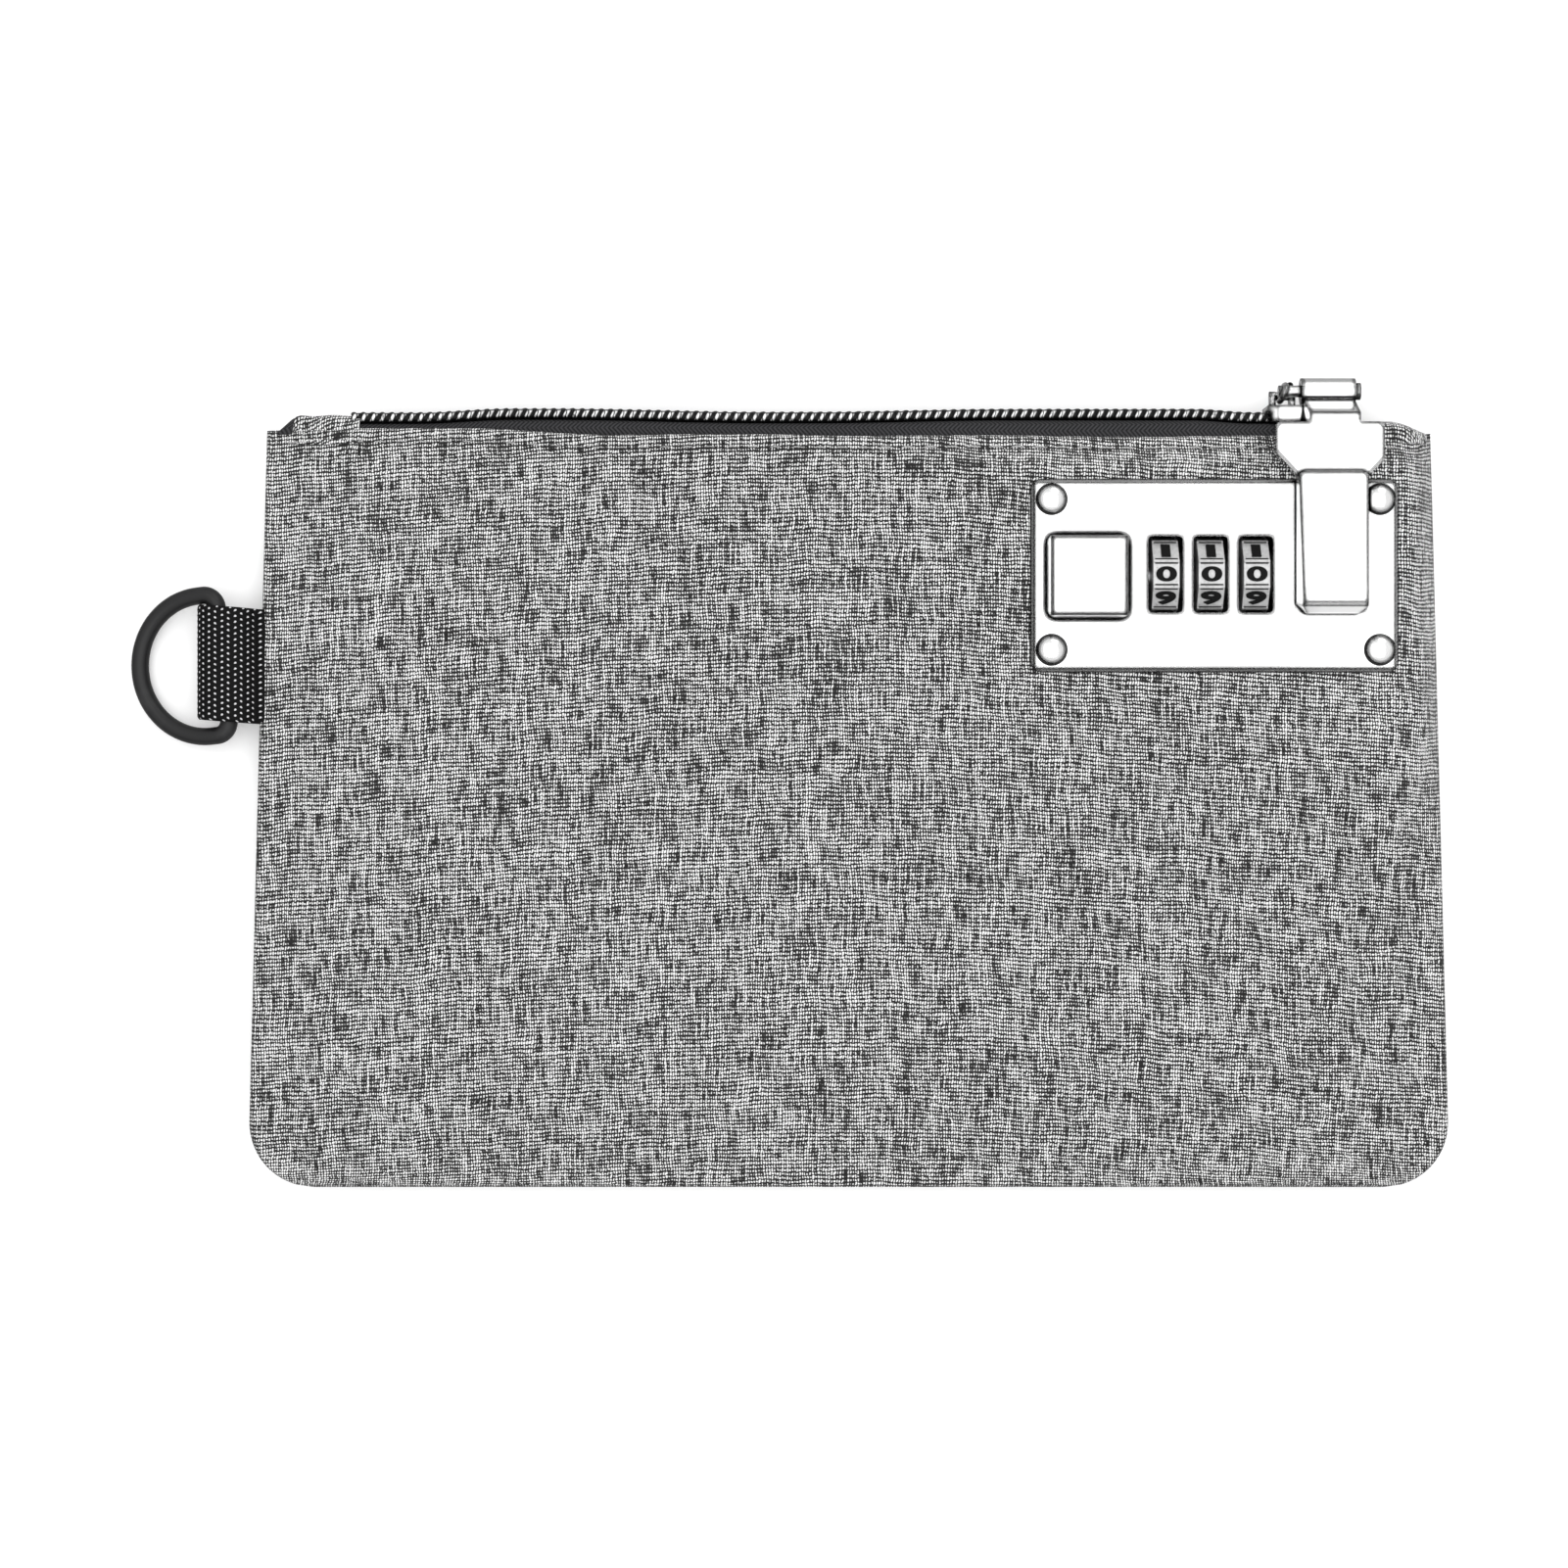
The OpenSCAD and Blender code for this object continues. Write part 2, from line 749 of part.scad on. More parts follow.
// A round wire wound about Z.
module helix(r, wire, h, turns) {
  steps = 14 * turns;
  sides = 6;
  pts = [for (i = [0:steps]) for (k = [0:sides - 1])
    let (
      turn = 360 * turns * i / steps,
      reach = r + wire * cos(360 * k / sides)
    )
    [reach * cos(turn), reach * sin(turn), wire + (h - 2 * wire) * i / steps + wire * sin(360 * k / sides)]
  ];
  walls = [for (i = [0:steps - 1]) for (k = [0:sides - 1]) each [
    [i * sides + k, i * sides + (k + 1) % sides, (i + 1) * sides + (k + 1) % sides],
    [i * sides + k, (i + 1) * sides + (k + 1) % sides, (i + 1) * sides + k]
  ]];
  ends = [[for (k = [sides - 1:-1:0]) k], [for (k = [0:sides - 1]) steps * sides + k]];
  polyhedron(points = pts, faces = [for (f = concat(walls, ends)) [for (k = [len(f) - 1:-1:0]) f[k]]], convexity = 8);
}

module button_spring() {
  color(steel_tint)
    translate([button_x, button_y - 0.8, case_floor + case_t])
      helix(2.5, 0.35, flange_z + 3 - case_floor - case_t, 6);
}

module latch_bar() {
  block_top = bar_z0 - 0.2;
  block_z0 = 9.6;
  face_sum = wedge_x + flange_z - 0.5 - 0.1;
  color(steel_tint) {
    box(bar_x0, nose_x1 - 2, bar_y0, bar_y1, bar_z0, bar_z1);
    box(nose_x1 - 5.8, nose_x1 - 2, nose_y0, bar_y1, bar_z1 - 1.2, bar_z1);
    box(nose_x1 - 2.5, nose_x1, nose_y0, nose_y0 + 3, bar_z1 - 1.2, bar_z1);
    y_prism(wedge_y, bar_y1, [
      [bar_x0 + 2, block_z0],
      [face_sum - block_z0, block_z0],
      [face_sum - block_top, block_top],
      [bar_x0 + 2, block_top]
    ]);
    box(bar_x0 + 2, bar_x0 + 5.4, bar_y0, bar_y1, block_z0, bar_z1);
    for (i = [0:dial_count - 1])
      translate([dial_x + i * dial_pitch + dial_w / 2 + 2.5, 0, 0])
        box(0, 1.1, dial_y + cam_rim_r + 0.5, bar_y1, dial_z - 0.9, bar_z0 + 0.1);
  }
}

module latch_spring() {
  x0 = case_x0 + case_t;
  color(steel_tint)
    translate([x0 + 0.4, (bar_y0 + bar_y1) / 2, (bar_z0 + bar_z1) / 2])
      rotate([0, 90, 0])
        helix(0.7, 0.2, bar_x0 - x0 - 0.8, 7);
}

// Zip slider.

module slider_body() {
  color(chrome_tint) {
    intersection() {
      y_prism(slider_y0 - coil_h - 0.2, slider_top, [
        [slider_x0, seam_z - 3.9], [slider_x0 + 2, seam_z - slider_half],
        [slider_x1 - 0.8, seam_z - slider_half], [slider_x1, seam_z - slider_half + 0.8],
        [slider_x1, seam_z + slider_half - 0.8], [slider_x1 - 0.8, seam_z + slider_half],
        [slider_x0 + 2, seam_z + slider_half], [slider_x0, seam_z + 3.9]
      ]);
      union() {
        box(slider_x0, slider_x1, slider_y0, slider_top, seam_z - 6, seam_z + 6);
        for (s = [-1, 1])
          translate([0, 0, seam_z + s * (slider_half - 0.5)])
            box(slider_x0, slider_x1, tape_top + 0.3, slider_y0 + eps, -0.5, 0.5);
      }
    }
    box(slider_x0 + 0.5, slider_x1 - 0.5, tape_top - tape_t - 1.6, tape_top - tape_t - 0.35, seam_z - 3.2, seam_z + 3.2);
    box(coil_x1 + 0.6, slider_x1 - 0.6, tape_top - tape_t - 0.4, slider_y0 + eps, seam_z - 0.9, seam_z + 0.9);
  }
}

// Two legs with a round bar between them, which the eye link turns on.
module slider_bridge() {
  color(chrome_tint) {
    for (x = [bridge_x0, bridge_x0 + bridge_len - bridge_leg]) {
      box(x, x + bridge_leg, slider_top, bridge_y, bridge_z - 1, bridge_z + 1);
      x_rod(x, x + bridge_leg, bridge_y, bridge_z, 1);
    }
    x_rod(bridge_x0 + eps, bridge_x0 + bridge_len - eps, bridge_y, bridge_z, bridge_r);
  }
}

module eye_link() {
  color(chrome_tint)
    translate([bridge_x0 + bridge_leg + 0.4, 0, 0])
      rotate([90, 0, 90])
        linear_extrude(height = bridge_len - 2 * bridge_leg - 0.8)
          difference() {
            union() {
              translate([bridge_y, bridge_z])
                circle(r = eye_r);
              translate([pin_y, pin_z])
                circle(r = 2.3);
              translate([bridge_y - 1.3, bridge_z])
                square([3, pin_z - bridge_z]);
            }
            translate([pin_y, pin_z])
              circle(r = pin_r + 0.02);
            translate([bridge_y, bridge_z])
              circle(r = bridge_r + fit);
          }
}

module hasp_pin() {
  color(steel_tint) {
    x_rod(slider_x0 + 2.2, barrel_x1 + 1.2, pin_y, pin_z, pin_r);
    x_rod(barrel_x1 + 0.15, barrel_x1 + 1.2, pin_y, pin_z, pin_r + 0.55);
  }
}

// Hasp.

module hasp() {
  tip_top = plate_top + 6.1;
  root_top = plate_top + 3.4;
  head_top = plate_top + 2.6;
  head_under = lock_fabric_top + 0.55;
  x0 = arm_x - arm_w / 2;
  x1 = arm_x + arm_w / 2;
  color(chrome_tint)
    difference() {
      union() {
        intersection() {
          x_prism(x0, x1, [
            [arm_tip_y, arm_under], [arm_root_y, arm_under], [arm_root_y, root_top - 0.5],
            [arm_root_y - 0.5, root_top], [arm_tip_y + 2.2, tip_top], [arm_tip_y + 1.4, tip_top - 0.4],
            [arm_tip_y, arm_under + 1.4]
          ]);
          y_prism(arm_tip_y - 1, arm_root_y + 1, [
            [x0, arm_under], [x1, arm_under], [x1, arm_under + 1],
            [x1 - 0.7, tip_top - 0.4], [x1 - 1.1, tip_top], [x0 + 1.1, tip_top],
            [x0 + 0.7, tip_top - 0.4], [x0, arm_under + 1]
          ]);
          linear_extrude(height = 40)
            polygon([
              [x0 + 2, arm_tip_y - 0.01], [x1 - 2, arm_tip_y - 0.01], [x1, arm_tip_y + 2],
              [x1, arm_root_y - 1.2], [x1 - 1.2, arm_root_y + 0.01], [x0 + 1.2, arm_root_y + 0.01],
              [x0, arm_root_y - 1.2], [x0, arm_tip_y + 2]
            ]);
        }
        translate([0, 0, head_under])
          linear_extrude(height = head_top - head_under)
            polygon([
              [100.4, 73.7], [100.4, 68.2], [x0, 63.4], [x1, 63.4],
              [122.9, 66.8], [122.9, 73.7], [122.1, 74.5], [101.2, 74.5]
            ]);
        x_prism(barrel_x0 + 0.4, barrel_x1 - 0.4, [
          [73.7, head_under], [80.2, pin_z], [81.4, pin_z + 1.6], [80.1, pin_z + 2.3],
          [76.4, head_top], [73.7, head_top]
        ]);
        x_rod(barrel_x0, barrel_x1, pin_y, pin_z, barrel_r);
      }
      x_rod(barrel_x0 - 1, barrel_x1 + 1, pin_y, pin_z, pin_r + fit);
    }
}

// The steel tongue that the latch bar holds.
module hasp_catch() {
  color(steel_tint)
    x_prism(catch_x, catch_x + catch_w, [
      [catch_y, arm_under], [catch_y, plate_top - 3.8], [catch_y + 1.2, plate_top - 3.8],
      [catch_y + 2.5, plate_top - 3.2], [catch_y + 2.5, plate_top - 2.6],
      [catch_y + 1.6, plate_top - 2.6], [catch_y + 1.6, arm_under]
    ]);
}

front_panel();
back_panel();
lining_front();
lining_back();
zip_tape_front();
zip_tape_back();
zip_coil_front();
zip_coil_back();
zip_end_tab_left();
zip_end_tab_right();
webbing_loop();
d_ring();
lock_plate();
rivets();
backing_plate();
lock_case();
dial_axle();
dial_1();
dial_2();
dial_3();
dial_cam_1();
dial_cam_2();
dial_cam_3();
detent_spring();
release_button();
button_spring();
latch_bar();
latch_spring();
slider_body();
slider_bridge();
eye_link();
hasp_pin();
hasp();
hasp_catch();
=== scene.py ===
import math

import bpy
import numpy as np
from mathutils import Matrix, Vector


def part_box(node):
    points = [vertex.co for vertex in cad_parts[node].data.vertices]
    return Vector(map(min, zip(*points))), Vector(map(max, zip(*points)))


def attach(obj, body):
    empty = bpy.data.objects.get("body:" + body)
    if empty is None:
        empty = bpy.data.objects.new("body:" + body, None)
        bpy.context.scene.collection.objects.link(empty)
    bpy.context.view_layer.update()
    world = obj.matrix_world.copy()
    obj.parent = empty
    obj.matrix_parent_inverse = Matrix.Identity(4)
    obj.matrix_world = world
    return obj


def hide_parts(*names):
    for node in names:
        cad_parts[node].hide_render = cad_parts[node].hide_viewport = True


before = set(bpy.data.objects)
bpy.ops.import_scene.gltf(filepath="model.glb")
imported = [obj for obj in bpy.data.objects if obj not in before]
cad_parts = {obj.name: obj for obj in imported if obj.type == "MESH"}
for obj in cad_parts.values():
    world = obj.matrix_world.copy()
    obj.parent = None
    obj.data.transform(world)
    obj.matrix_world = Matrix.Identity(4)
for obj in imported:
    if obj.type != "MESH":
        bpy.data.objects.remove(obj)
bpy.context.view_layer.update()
mm = 0.001  # every size below is in millimetres


def boxMm(node):
    low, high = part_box(node)
    return np.array(low) / mm, np.array(high) / mm


# numbers taken from the frame, in mm
frontLow, frontHigh = boxMm("front_panel")
plateLow, plateHigh = boxMm("lock_plate")
caseLow, caseHigh = boxMm("lock_case")
tapeLow, tapeHigh = boxMm("zip_tape_front")
coilLow, coilHigh = boxMm("zip_coil_front")
webLow, webHigh = boxMm("webbing_loop")
tabLeftLow, tabLeftHigh = boxMm("zip_end_tab_left")
tabRightLow, tabRightHigh = boxMm("zip_end_tab_right")

bag = dict(
    middleX=(frontLow[0] + frontHigh[0]) / 2,
    topWidth=245,
    cornerRadius=14,
    clothThickness=0.8,
    swell=4.8,
    lockLift=4.15,
    shoulder=30,
    lockShoulder=7,
    liningThickness=0.3,
    gridStep=0.95,  # distance between mesh columns and rows
    puckerHeight=0.3,  # gathers along the sewn edges
    puckerReach=9,
    waveHeight=0.35,  # soft unevenness of the filled cloth
    mouthDip=1.7,  # how far the mouth's edge drops away from the left corner
    stitchInset=2.9,  # topstitching below the mouth's edge
)
bag.update(
    bottomY=frontLow[1],
    topY=frontHigh[1],
    seamZ=frontLow[2],
    bottomWidth=frontHigh[0] - frontLow[0],
)
plateMiddle = (plateLow + plateHigh) / 2


def clamp01(t):
    return np.clip(t, 0, 1)


def smooth(t):
    c = clamp01(t)
    return c * c * (3 - 2 * c)


def rise(inside, width):
    return np.sin(math.pi / 2 * clamp01(inside / width))


def halfWidth(y):
    r = bag["cornerRadius"]
    up = bag["bottomY"] + r - y
    cut = np.where(up > 0, r - np.sqrt(np.maximum(0, r * r - up * up)), 0)
    span = bag["topY"] - bag["bottomY"]
    return (bag["topWidth"] + (bag["bottomWidth"] - bag["topWidth"]) * (bag["topY"] - y) / span) / 2 - cut


def fillShape(x, y):
    lockSide = bag["lockShoulder"] + (bag["shoulder"] - bag["lockShoulder"]) * (1 - smooth((y + 45) / 60))
    width = np.where(x > bag["middleX"], lockSide, bag["shoulder"])
    inside = halfWidth(y) - np.abs(x - bag["middleX"])
    return rise(inside, width) * rise(y - bag["bottomY"], bag["shoulder"])


def frontInside(x, y):
    lift = smooth((x - plateMiddle[0] + 84) / 43) * smooth((y - plateMiddle[1] + 70) / 47)
    lift = lift * smooth((bag["topY"] + 0.4 - y) / 9.6)
    return bag["seamZ"] + (bag["swell"] + bag["lockLift"] * lift) * fillShape(x, y)


def backInside(x, y):
    depth = bag["seamZ"] - bag["clothThickness"] - 1.4 * smooth((y - 58) / 16)
    return bag["seamZ"] - depth * fillShape(x, y)


def mouthDrop(x):
    drop = smooth((x + 70) / 34) * (bag["mouthDip"] - 0.3) + smooth((x + 20) / 100) * 0.3
    return drop + 0.12 * np.sin(x / 9.0) * smooth((x + 60) / 30)


def wrinkles(x, y, side):
    # soft unevenness, nothing under the plate and nothing at the seams
    inside = np.minimum(halfWidth(y) - np.abs(x - bag["middleX"]), y - bag["bottomY"])
    away = smooth((np.maximum(np.abs(x - plateMiddle[0]) - 40, np.abs(y - plateMiddle[1]) - 22)) / 26)
    wave = np.sin(x / 23 + 1.3 * np.sin(y / 31 + side)) * np.cos(y / 27 - 0.8 * np.sin(x / 37 + 2 * side))
    wave = wave + 0.6 * np.sin((x + 0.7 * y) / 17 + 2.1 * side) * np.sin((y - 0.4 * x) / 21 + side)
    wave = wave * bag["waveHeight"] * away * smooth(inside / 25)
    along = np.where(y - bag["bottomY"] < halfWidth(y) - np.abs(x - bag["middleX"]), x, y)
    fade = np.exp(-inside / bag["puckerReach"]) * smooth(inside / 1.5)
    pucker = np.sin(along / 1.9 + 2.2 * np.sin(along / 13 + side)) * (0.6 + 0.4 * np.sin(along / 8.5))
    return wave + pucker * bag["puckerHeight"] * fade * smooth((bag["topY"] - y) / 12)


def addMesh(name, verts, faces, cloth=None):
    mesh = bpy.data.meshes.new(name)
    mesh.from_pydata((np.asarray(verts, float) * mm).tolist(), [], [list(map(int, f)) for f in faces])
    mesh.validate()
    mesh.update()
    mesh.polygons.foreach_set("use_smooth", [True] * len(mesh.polygons))
    if cloth is not None:
        layer = mesh.attributes.new("cloth", "FLOAT_VECTOR", "POINT")
        layer.data.foreach_set("vector", np.asarray(cloth, np.float32).ravel())
    made = bpy.data.objects.new(name, mesh)
    bpy.context.scene.collection.objects.link(made)
    return made


def clothLengths(surface):
    # distance along the cloth in each direction, so a weave packs up where the surface turns away
    across = np.linalg.norm(np.diff(surface, axis=1), axis=2)
    along = np.linalg.norm(np.diff(surface, axis=0), axis=2)
    u = np.concatenate([np.zeros((len(surface), 1)), np.cumsum(across, axis=1)], axis=1)
    v = np.concatenate([np.zeros((1, surface.shape[1])), np.cumsum(along, axis=0)], axis=0)
    u = u - u[:, [surface.shape[1] // 2]]
    return np.stack([u, v, np.zeros_like(u)], axis=2)


def sheetMesh(name, top, under, keep=None, shadow=None):
    # a closed sheet between two grids of points, with the cells where keep is False cut out
    rows, cols = top.shape[:2]
    if keep is None:
        keep = np.ones((rows - 1, cols - 1), bool)
    index = np.arange(rows * cols).reshape(rows, cols)
    below = rows * cols
    a, b, c, d = index[:-1, :-1], index[:-1, 1:], index[1:, 1:], index[1:, :-1]
    faces = [np.stack([a, b, c, d], 2)[keep], np.stack([a, d, c, b], 2)[keep] + below]
    ring = np.pad(keep, 1)
    sides = [
        (ring[1:, 1:-1] & ~ring[:-1, 1:-1], index[:, :-1], index[:, 1:]),
        (ring[:-1, 1:-1] & ~ring[1:, 1:-1], index[:, 1:], index[:, :-1]),
        (ring[1:-1, 1:] & ~ring[1:-1, :-1], index[1:, :], index[:-1, :]),
        (ring[1:-1, :-1] & ~ring[1:-1, 1:], index[:-1, :], index[1:, :]),
    ]
    for mask, p, q in sides:
        faces.append(np.stack([p, p + below, q + below, q], 2)[mask])
    faces = np.concatenate(faces)
    verts = np.concatenate([top.reshape(-1, 3), under.reshape(-1, 3)])
    used = np.unique(faces)
    renumber = np.full(len(verts), -1)
    renumber[used] = np.arange(len(used))
    lengths = clothLengths(top)
    if shadow is not None:
        lengths[:, :, 2] = shadow  # the third number darkens the cloth, as along a line of stitches
    cloth = np.tile(lengths.reshape(-1, 3), (2, 1))
    return addMesh(name, verts[used], renumber[faces], cloth[used])


def thicken(path, thickness):
    # the other side of a grid of points, moved along its own normals
    du = np.gradient(path, axis=1)
    dv = np.gradient(path, axis=0)
    normal = np.cross(du, dv)
    normal /= np.maximum(np.linalg.norm(normal, axis=2, keepdims=True), 1e-9)
    return path - normal * thickness


def tube(points, radius, sides=8):
    # one round thread or wire along points, closed at both ends
    pts = np.asarray(points, float)
    tangent = np.gradient(pts, axis=0)
    tangent /= np.linalg.norm(tangent, axis=1, keepdims=True)
    start = np.array([0.0, 0.0, 1.0]) if abs(tangent[0][2]) < 0.9 else np.array([1.0, 0.0, 0.0])
    normal = np.cross(tangent[0], start)
    verts = []
    radii = np.broadcast_to(radius, len(pts))
    turn = np.arange(sides) / sides * 2 * math.pi
    for point, direction, r in zip(pts, tangent, radii):
        normal = normal - direction * np.dot(normal, direction)
        normal /= np.linalg.norm(normal)
        other = np.cross(direction, normal)
        verts.append(point + r * (np.cos(turn)[:, None] * normal + np.sin(turn)[:, None] * other))
    verts = np.concatenate(verts)
    faces = []
    for i in range(len(pts) - 1):
        for k in range(sides):
            n = (k + 1) % sides
            faces.append([i * sides + k, i * sides + n, (i + 1) * sides + n, (i + 1) * sides + k])
    last = (len(pts) - 1) * sides
    faces.append(list(range(sides))[::-1])
    faces.append([last + k for k in range(sides)])
    return verts, faces


def joinParts(name, parts, cloth=False):
    verts, faces, start = [], [], 0
    for partVerts, partFaces in parts:
        verts.append(partVerts)
        faces += [[start + k for k in f] for f in partFaces]
        start += len(partVerts)
    verts = np.concatenate(verts)
    return addMesh(name, verts, faces, verts if cloth else None)


class Sock:
    # one output of a shader node, which adds Math nodes as it is used in sums
    def __init__(self, tree, socket=None):
        self.tree = tree
        self.socket = socket

    def node(self, kind, settings=None, inputs=None, out=0):
        made = self.tree.nodes.new(kind)
        for name, value in (settings or {}).items():
            if name == "stops":
                ramp = made.color_ramp
                while len(ramp.elements) > 1:
                    ramp.elements.remove(ramp.elements[-1])
                ramp.elements[0].position, ramp.elements[0].color = value[0]
                for position, colour in value[1:]:
                    ramp.elements.new(position).color = colour
            else:
                setattr(made, name, value)
        for name, value in (inputs or {}).items():
            if isinstance(value, Sock):
                self.tree.links.new(value.socket, made.inputs[name])
            else:
                made.inputs[name].default_value = value
        return Sock(self.tree, made.outputs[out] if made.outputs else None)

    def maths(self, operation, *values):
        return self.node("ShaderNodeMath", {"operation": operation}, dict(enumerate(values)))

    def __add__(self, other):
        return self.maths("ADD", self, other)

    def __sub__(self, other):
        return self.maths("SUBTRACT", self, other)

    def __rsub__(self, other):
        return self.maths("SUBTRACT", other, self)

    def __mul__(self, other):
        return self.maths("MULTIPLY", self, other)

    __radd__ = __add__
    __rmul__ = __mul__

    def floor(self):
        return self.maths("FLOOR", self)

    def sine(self):
        return self.maths("SINE", self)

    def between(self, low, high):
        # 0 below low, 1 above high
        return self.node("ShaderNodeMapRange", {}, {0: self, 1: low, 2: high, 3: 0.0, 4: 1.0})

    def vector(self, x, y, z=0.0):
        return self.node("ShaderNodeCombineXYZ", {}, {0: x, 1: y, 2: z})

    def parts(self, vector):
        split = self.tree.nodes.new("ShaderNodeSeparateXYZ")
        self.tree.links.new(vector.socket, split.inputs[0])
        return [Sock(self.tree, split.outputs[k]) for k in range(3)]

    def noise(self, vector, scale=1.0, detail=2.0, roughness=0.5):
        settings = {"noise_dimensions": "3D"}
        sockets = {"Vector": vector, "Scale": scale, "Detail": detail, "Roughness": roughness}
        return self.node("ShaderNodeTexNoise", settings, sockets)

    def mix(self, factor, first, second):
        return self.node("ShaderNodeMix", {"data_type": "RGBA"}, {0: factor, 6: first, 7: second}, 2)

    def bump(self, height, distance, strength=1.0, normal=None):
        sockets = {"Height": height, "Distance": distance * mm, "Strength": strength}
        if normal is not None:
            sockets["Normal"] = normal
        return self.node("ShaderNodeBump", {}, sockets)


def newFinish(name, build, **constants):
    material = bpy.data.materials.new(name)
    material.use_nodes = True
    tree = material.node_tree
    tree.nodes.clear()
    s = Sock(tree)
    shader = tree.nodes.new("ShaderNodeBsdfPrincipled")
    end = tree.nodes.new("ShaderNodeOutputMaterial")
    tree.links.new(shader.outputs[0], end.inputs[0])
    for socket, value in constants.items():
        shader.inputs[socketNames[socket]].default_value = value
    for socket, value in build(s).items():
        tree.links.new(value.socket, shader.inputs[socket])
    return material


socketNames = dict(
    metallic="Metallic",
    roughness="Roughness",
    sheen="Sheen Weight",
    sheenRoughness="Sheen Roughness",
    specular="Specular IOR Level",
    glow="Emission Strength",
    glowColour="Emission Color",
)


def grey(v, tint=0.0):
    return (v, v, v * (1 + tint), 1.0)


chain = dict(
    pitch=2.0,
    wire=0.5,
    core=1.05,
    lean=0.17,  # how much each turn leans over the top
    hiddenStart=2.6,  # length inside the left end tab
    reach=0.7,  # how far each half reaches past the middle
)
chain.update(firstCrest=coilLow[0] - chain["hiddenStart"] + 0.5, middleY=(coilLow[1] + coilHigh[1]) / 2)

canvasLook = dict(
    warpPitch=0.546,  # yarns that run up the bag
    weftPitch=0.834,  # yarns that run across it
    gap=0.012,  # darkest colour, used also for the painted shade in the gaps between yarns
    yarn=0.19,
    crest=0.78,
    level=-0.07,  # overall lightness
    streaks=2.9,  # how much yarns differ along their length
    warpShare=1.8,  # the upright yarns differ more
    specks=0.9,
    bands=0.55,
    rows=0.45,
    clouds=0.3,
    weave=3.7,  # painted light on the yarn crests against painted shade in the gaps
    yarnRelief=0.16,
)


def canvasNodes(s):
    cloth = s.node("ShaderNodeAttribute", {"attribute_name": "cloth"}, {}, 1)
    x, y, shadow = s.parts(cloth)
    flat = s.vector(x, y)
    drift = s.noise(flat, 0.09, 2.0) * 1.6 + s.noise(flat, 1.1, 2.0) * 0.62
    look = canvasLook
    warp = (x + drift) * (1 / look["warpPitch"])
    weft = (y + drift) * (1 / look["weftPitch"])
    warpNumber, weftNumber = warp.floor(), weft.floor()
    warpRound = s.maths("ABSOLUTE", (warp * math.pi).sine())
    weftRound = s.maths("ABSOLUTE", (weft * math.pi).sine())
    checker = s.maths("PINGPONG", warpNumber + weftNumber, 1.0)
    warpTone = s.noise(s.vector(warpNumber * 3.71, y * 0.16, 4.0), 1.0, 2.0)
    weftTone = s.noise(s.vector(x * 0.2, weftNumber * 3.71, 9.0), 1.0, 2.0)
    speck = s.noise(s.vector(warpNumber * 7.3, weftNumber * 5.9, 2.0), 1.0, 0.0)
    bands = s.noise(s.vector(x * 1.1, y * 0.03, 1.0), 1.0, 2.0)
    rows = s.noise(s.vector(x * 0.04, y * 0.75, 6.0), 1.0, 2.0)
    cloud = s.noise(flat, 0.05, 2.0)
    over = warpRound * checker + weftRound * (1 - checker)
    under = weftRound * checker + warpRound * (1 - checker)
    height = over * (under * 0.5 + 0.5)
    tone = warpTone * checker + weftTone * (1 - checker)
    lines = (warpTone - 0.5) * (warpRound * look["warpShare"]) + (weftTone - 0.5) * weftRound
    shade = lines * look["streaks"] + (speck - 0.5) * look["specks"]
    shade = shade + (bands - 0.5) * look["bands"] + (rows - 0.5) * look["rows"]
    # the weave's height sets part of the colour: painted light on the yarn crests, painted shade in the gaps;
    # the rest is yarn tone
    shade = shade + (cloud - 0.5) * look["clouds"] + (height - 0.5) * look["weave"] + look["level"] - shadow
    ramp = [(0.0, grey(look["gap"])), (0.5, grey(look["yarn"])), (1.0, grey(look["crest"]))]
    colour = s.node("ShaderNodeValToRGB", {"stops": ramp}, {0: shade})
    return {"Base Color": colour, "Normal": s.bump(height + tone * 0.4, look["yarnRelief"], 0.8)}


def liningNodes(s):
    place = s.node("ShaderNodeTexCoord", {}, {}, 3)
    x, y, _ = s.parts(place)
    weave = (x * 9000.0).sine() * (y * 9000.0).sine()
    cloud = s.noise(place, 60.0, 3.0)
    colour = s.mix(cloud, grey(0.018, 0.06), grey(0.05, 0.06))
    return {"Base Color": colour, "Normal": s.bump(weave, 0.05, 0.5)}


def tapeNodes(s):
    # a herringbone: the rib's slope changes side every few millimetres
    place = s.node("ShaderNodeAttribute", {"attribute_name": "cloth"}, {}, 1)
    x, y, _ = s.parts(place)
    zigzag = s.maths("PINGPONG", y, 1.5)
    rib = ((x + zigzag * 0.9) * (2 * math.pi / 0.95)).sine() * 0.5 + 0.5
    fine = s.noise(place, 2.4, 2.0)
    colour = s.mix(rib * 0.6 + fine * 0.4, grey(0.002, 0.1), grey(0.06, 0.06))
    return {"Base Color": colour, "Normal": s.bump(rib + fine * 0.4, 0.16, 0.9)}


def coilNodes(s):
    # black nylon, with a painted highlight where each turn passes over the top
    place = s.node("ShaderNodeTexCoord", {}, {}, 3)
    x, y, _ = s.parts(place)
    facing = s.parts(s.node("ShaderNodeNewGeometry", {}, {}, 1))[2]
    leaning = (y * (1 / mm) - chain["middleY"]) * 0.55
    along = (x * (1 / mm) - chain["firstCrest"] - leaning) * (math.pi / chain["pitch"])
    crest = s.maths("ABSOLUTE", s.maths("COSINE", along)).between(0.68, 0.92)
    blotch_noise = s.noise(place, 900.0, 2.0)
    # painted highlight: the crest of each turn, on faces turned up, broken into patches by the noise
    painted_crest_highlight = crest * facing.between(0.6, 0.9) * blotch_noise.between(0.2, 0.5)
    colour = s.mix(painted_crest_highlight, grey(0.003, 0.08), grey(0.95))
    return {"Base Color": colour, "Roughness": blotch_noise * 0.2 + 0.3}


strapWeave = dict(ribPitch=1.38, dotPitch=1.23)  # ribs run along Y, painted highlight dots sit on them
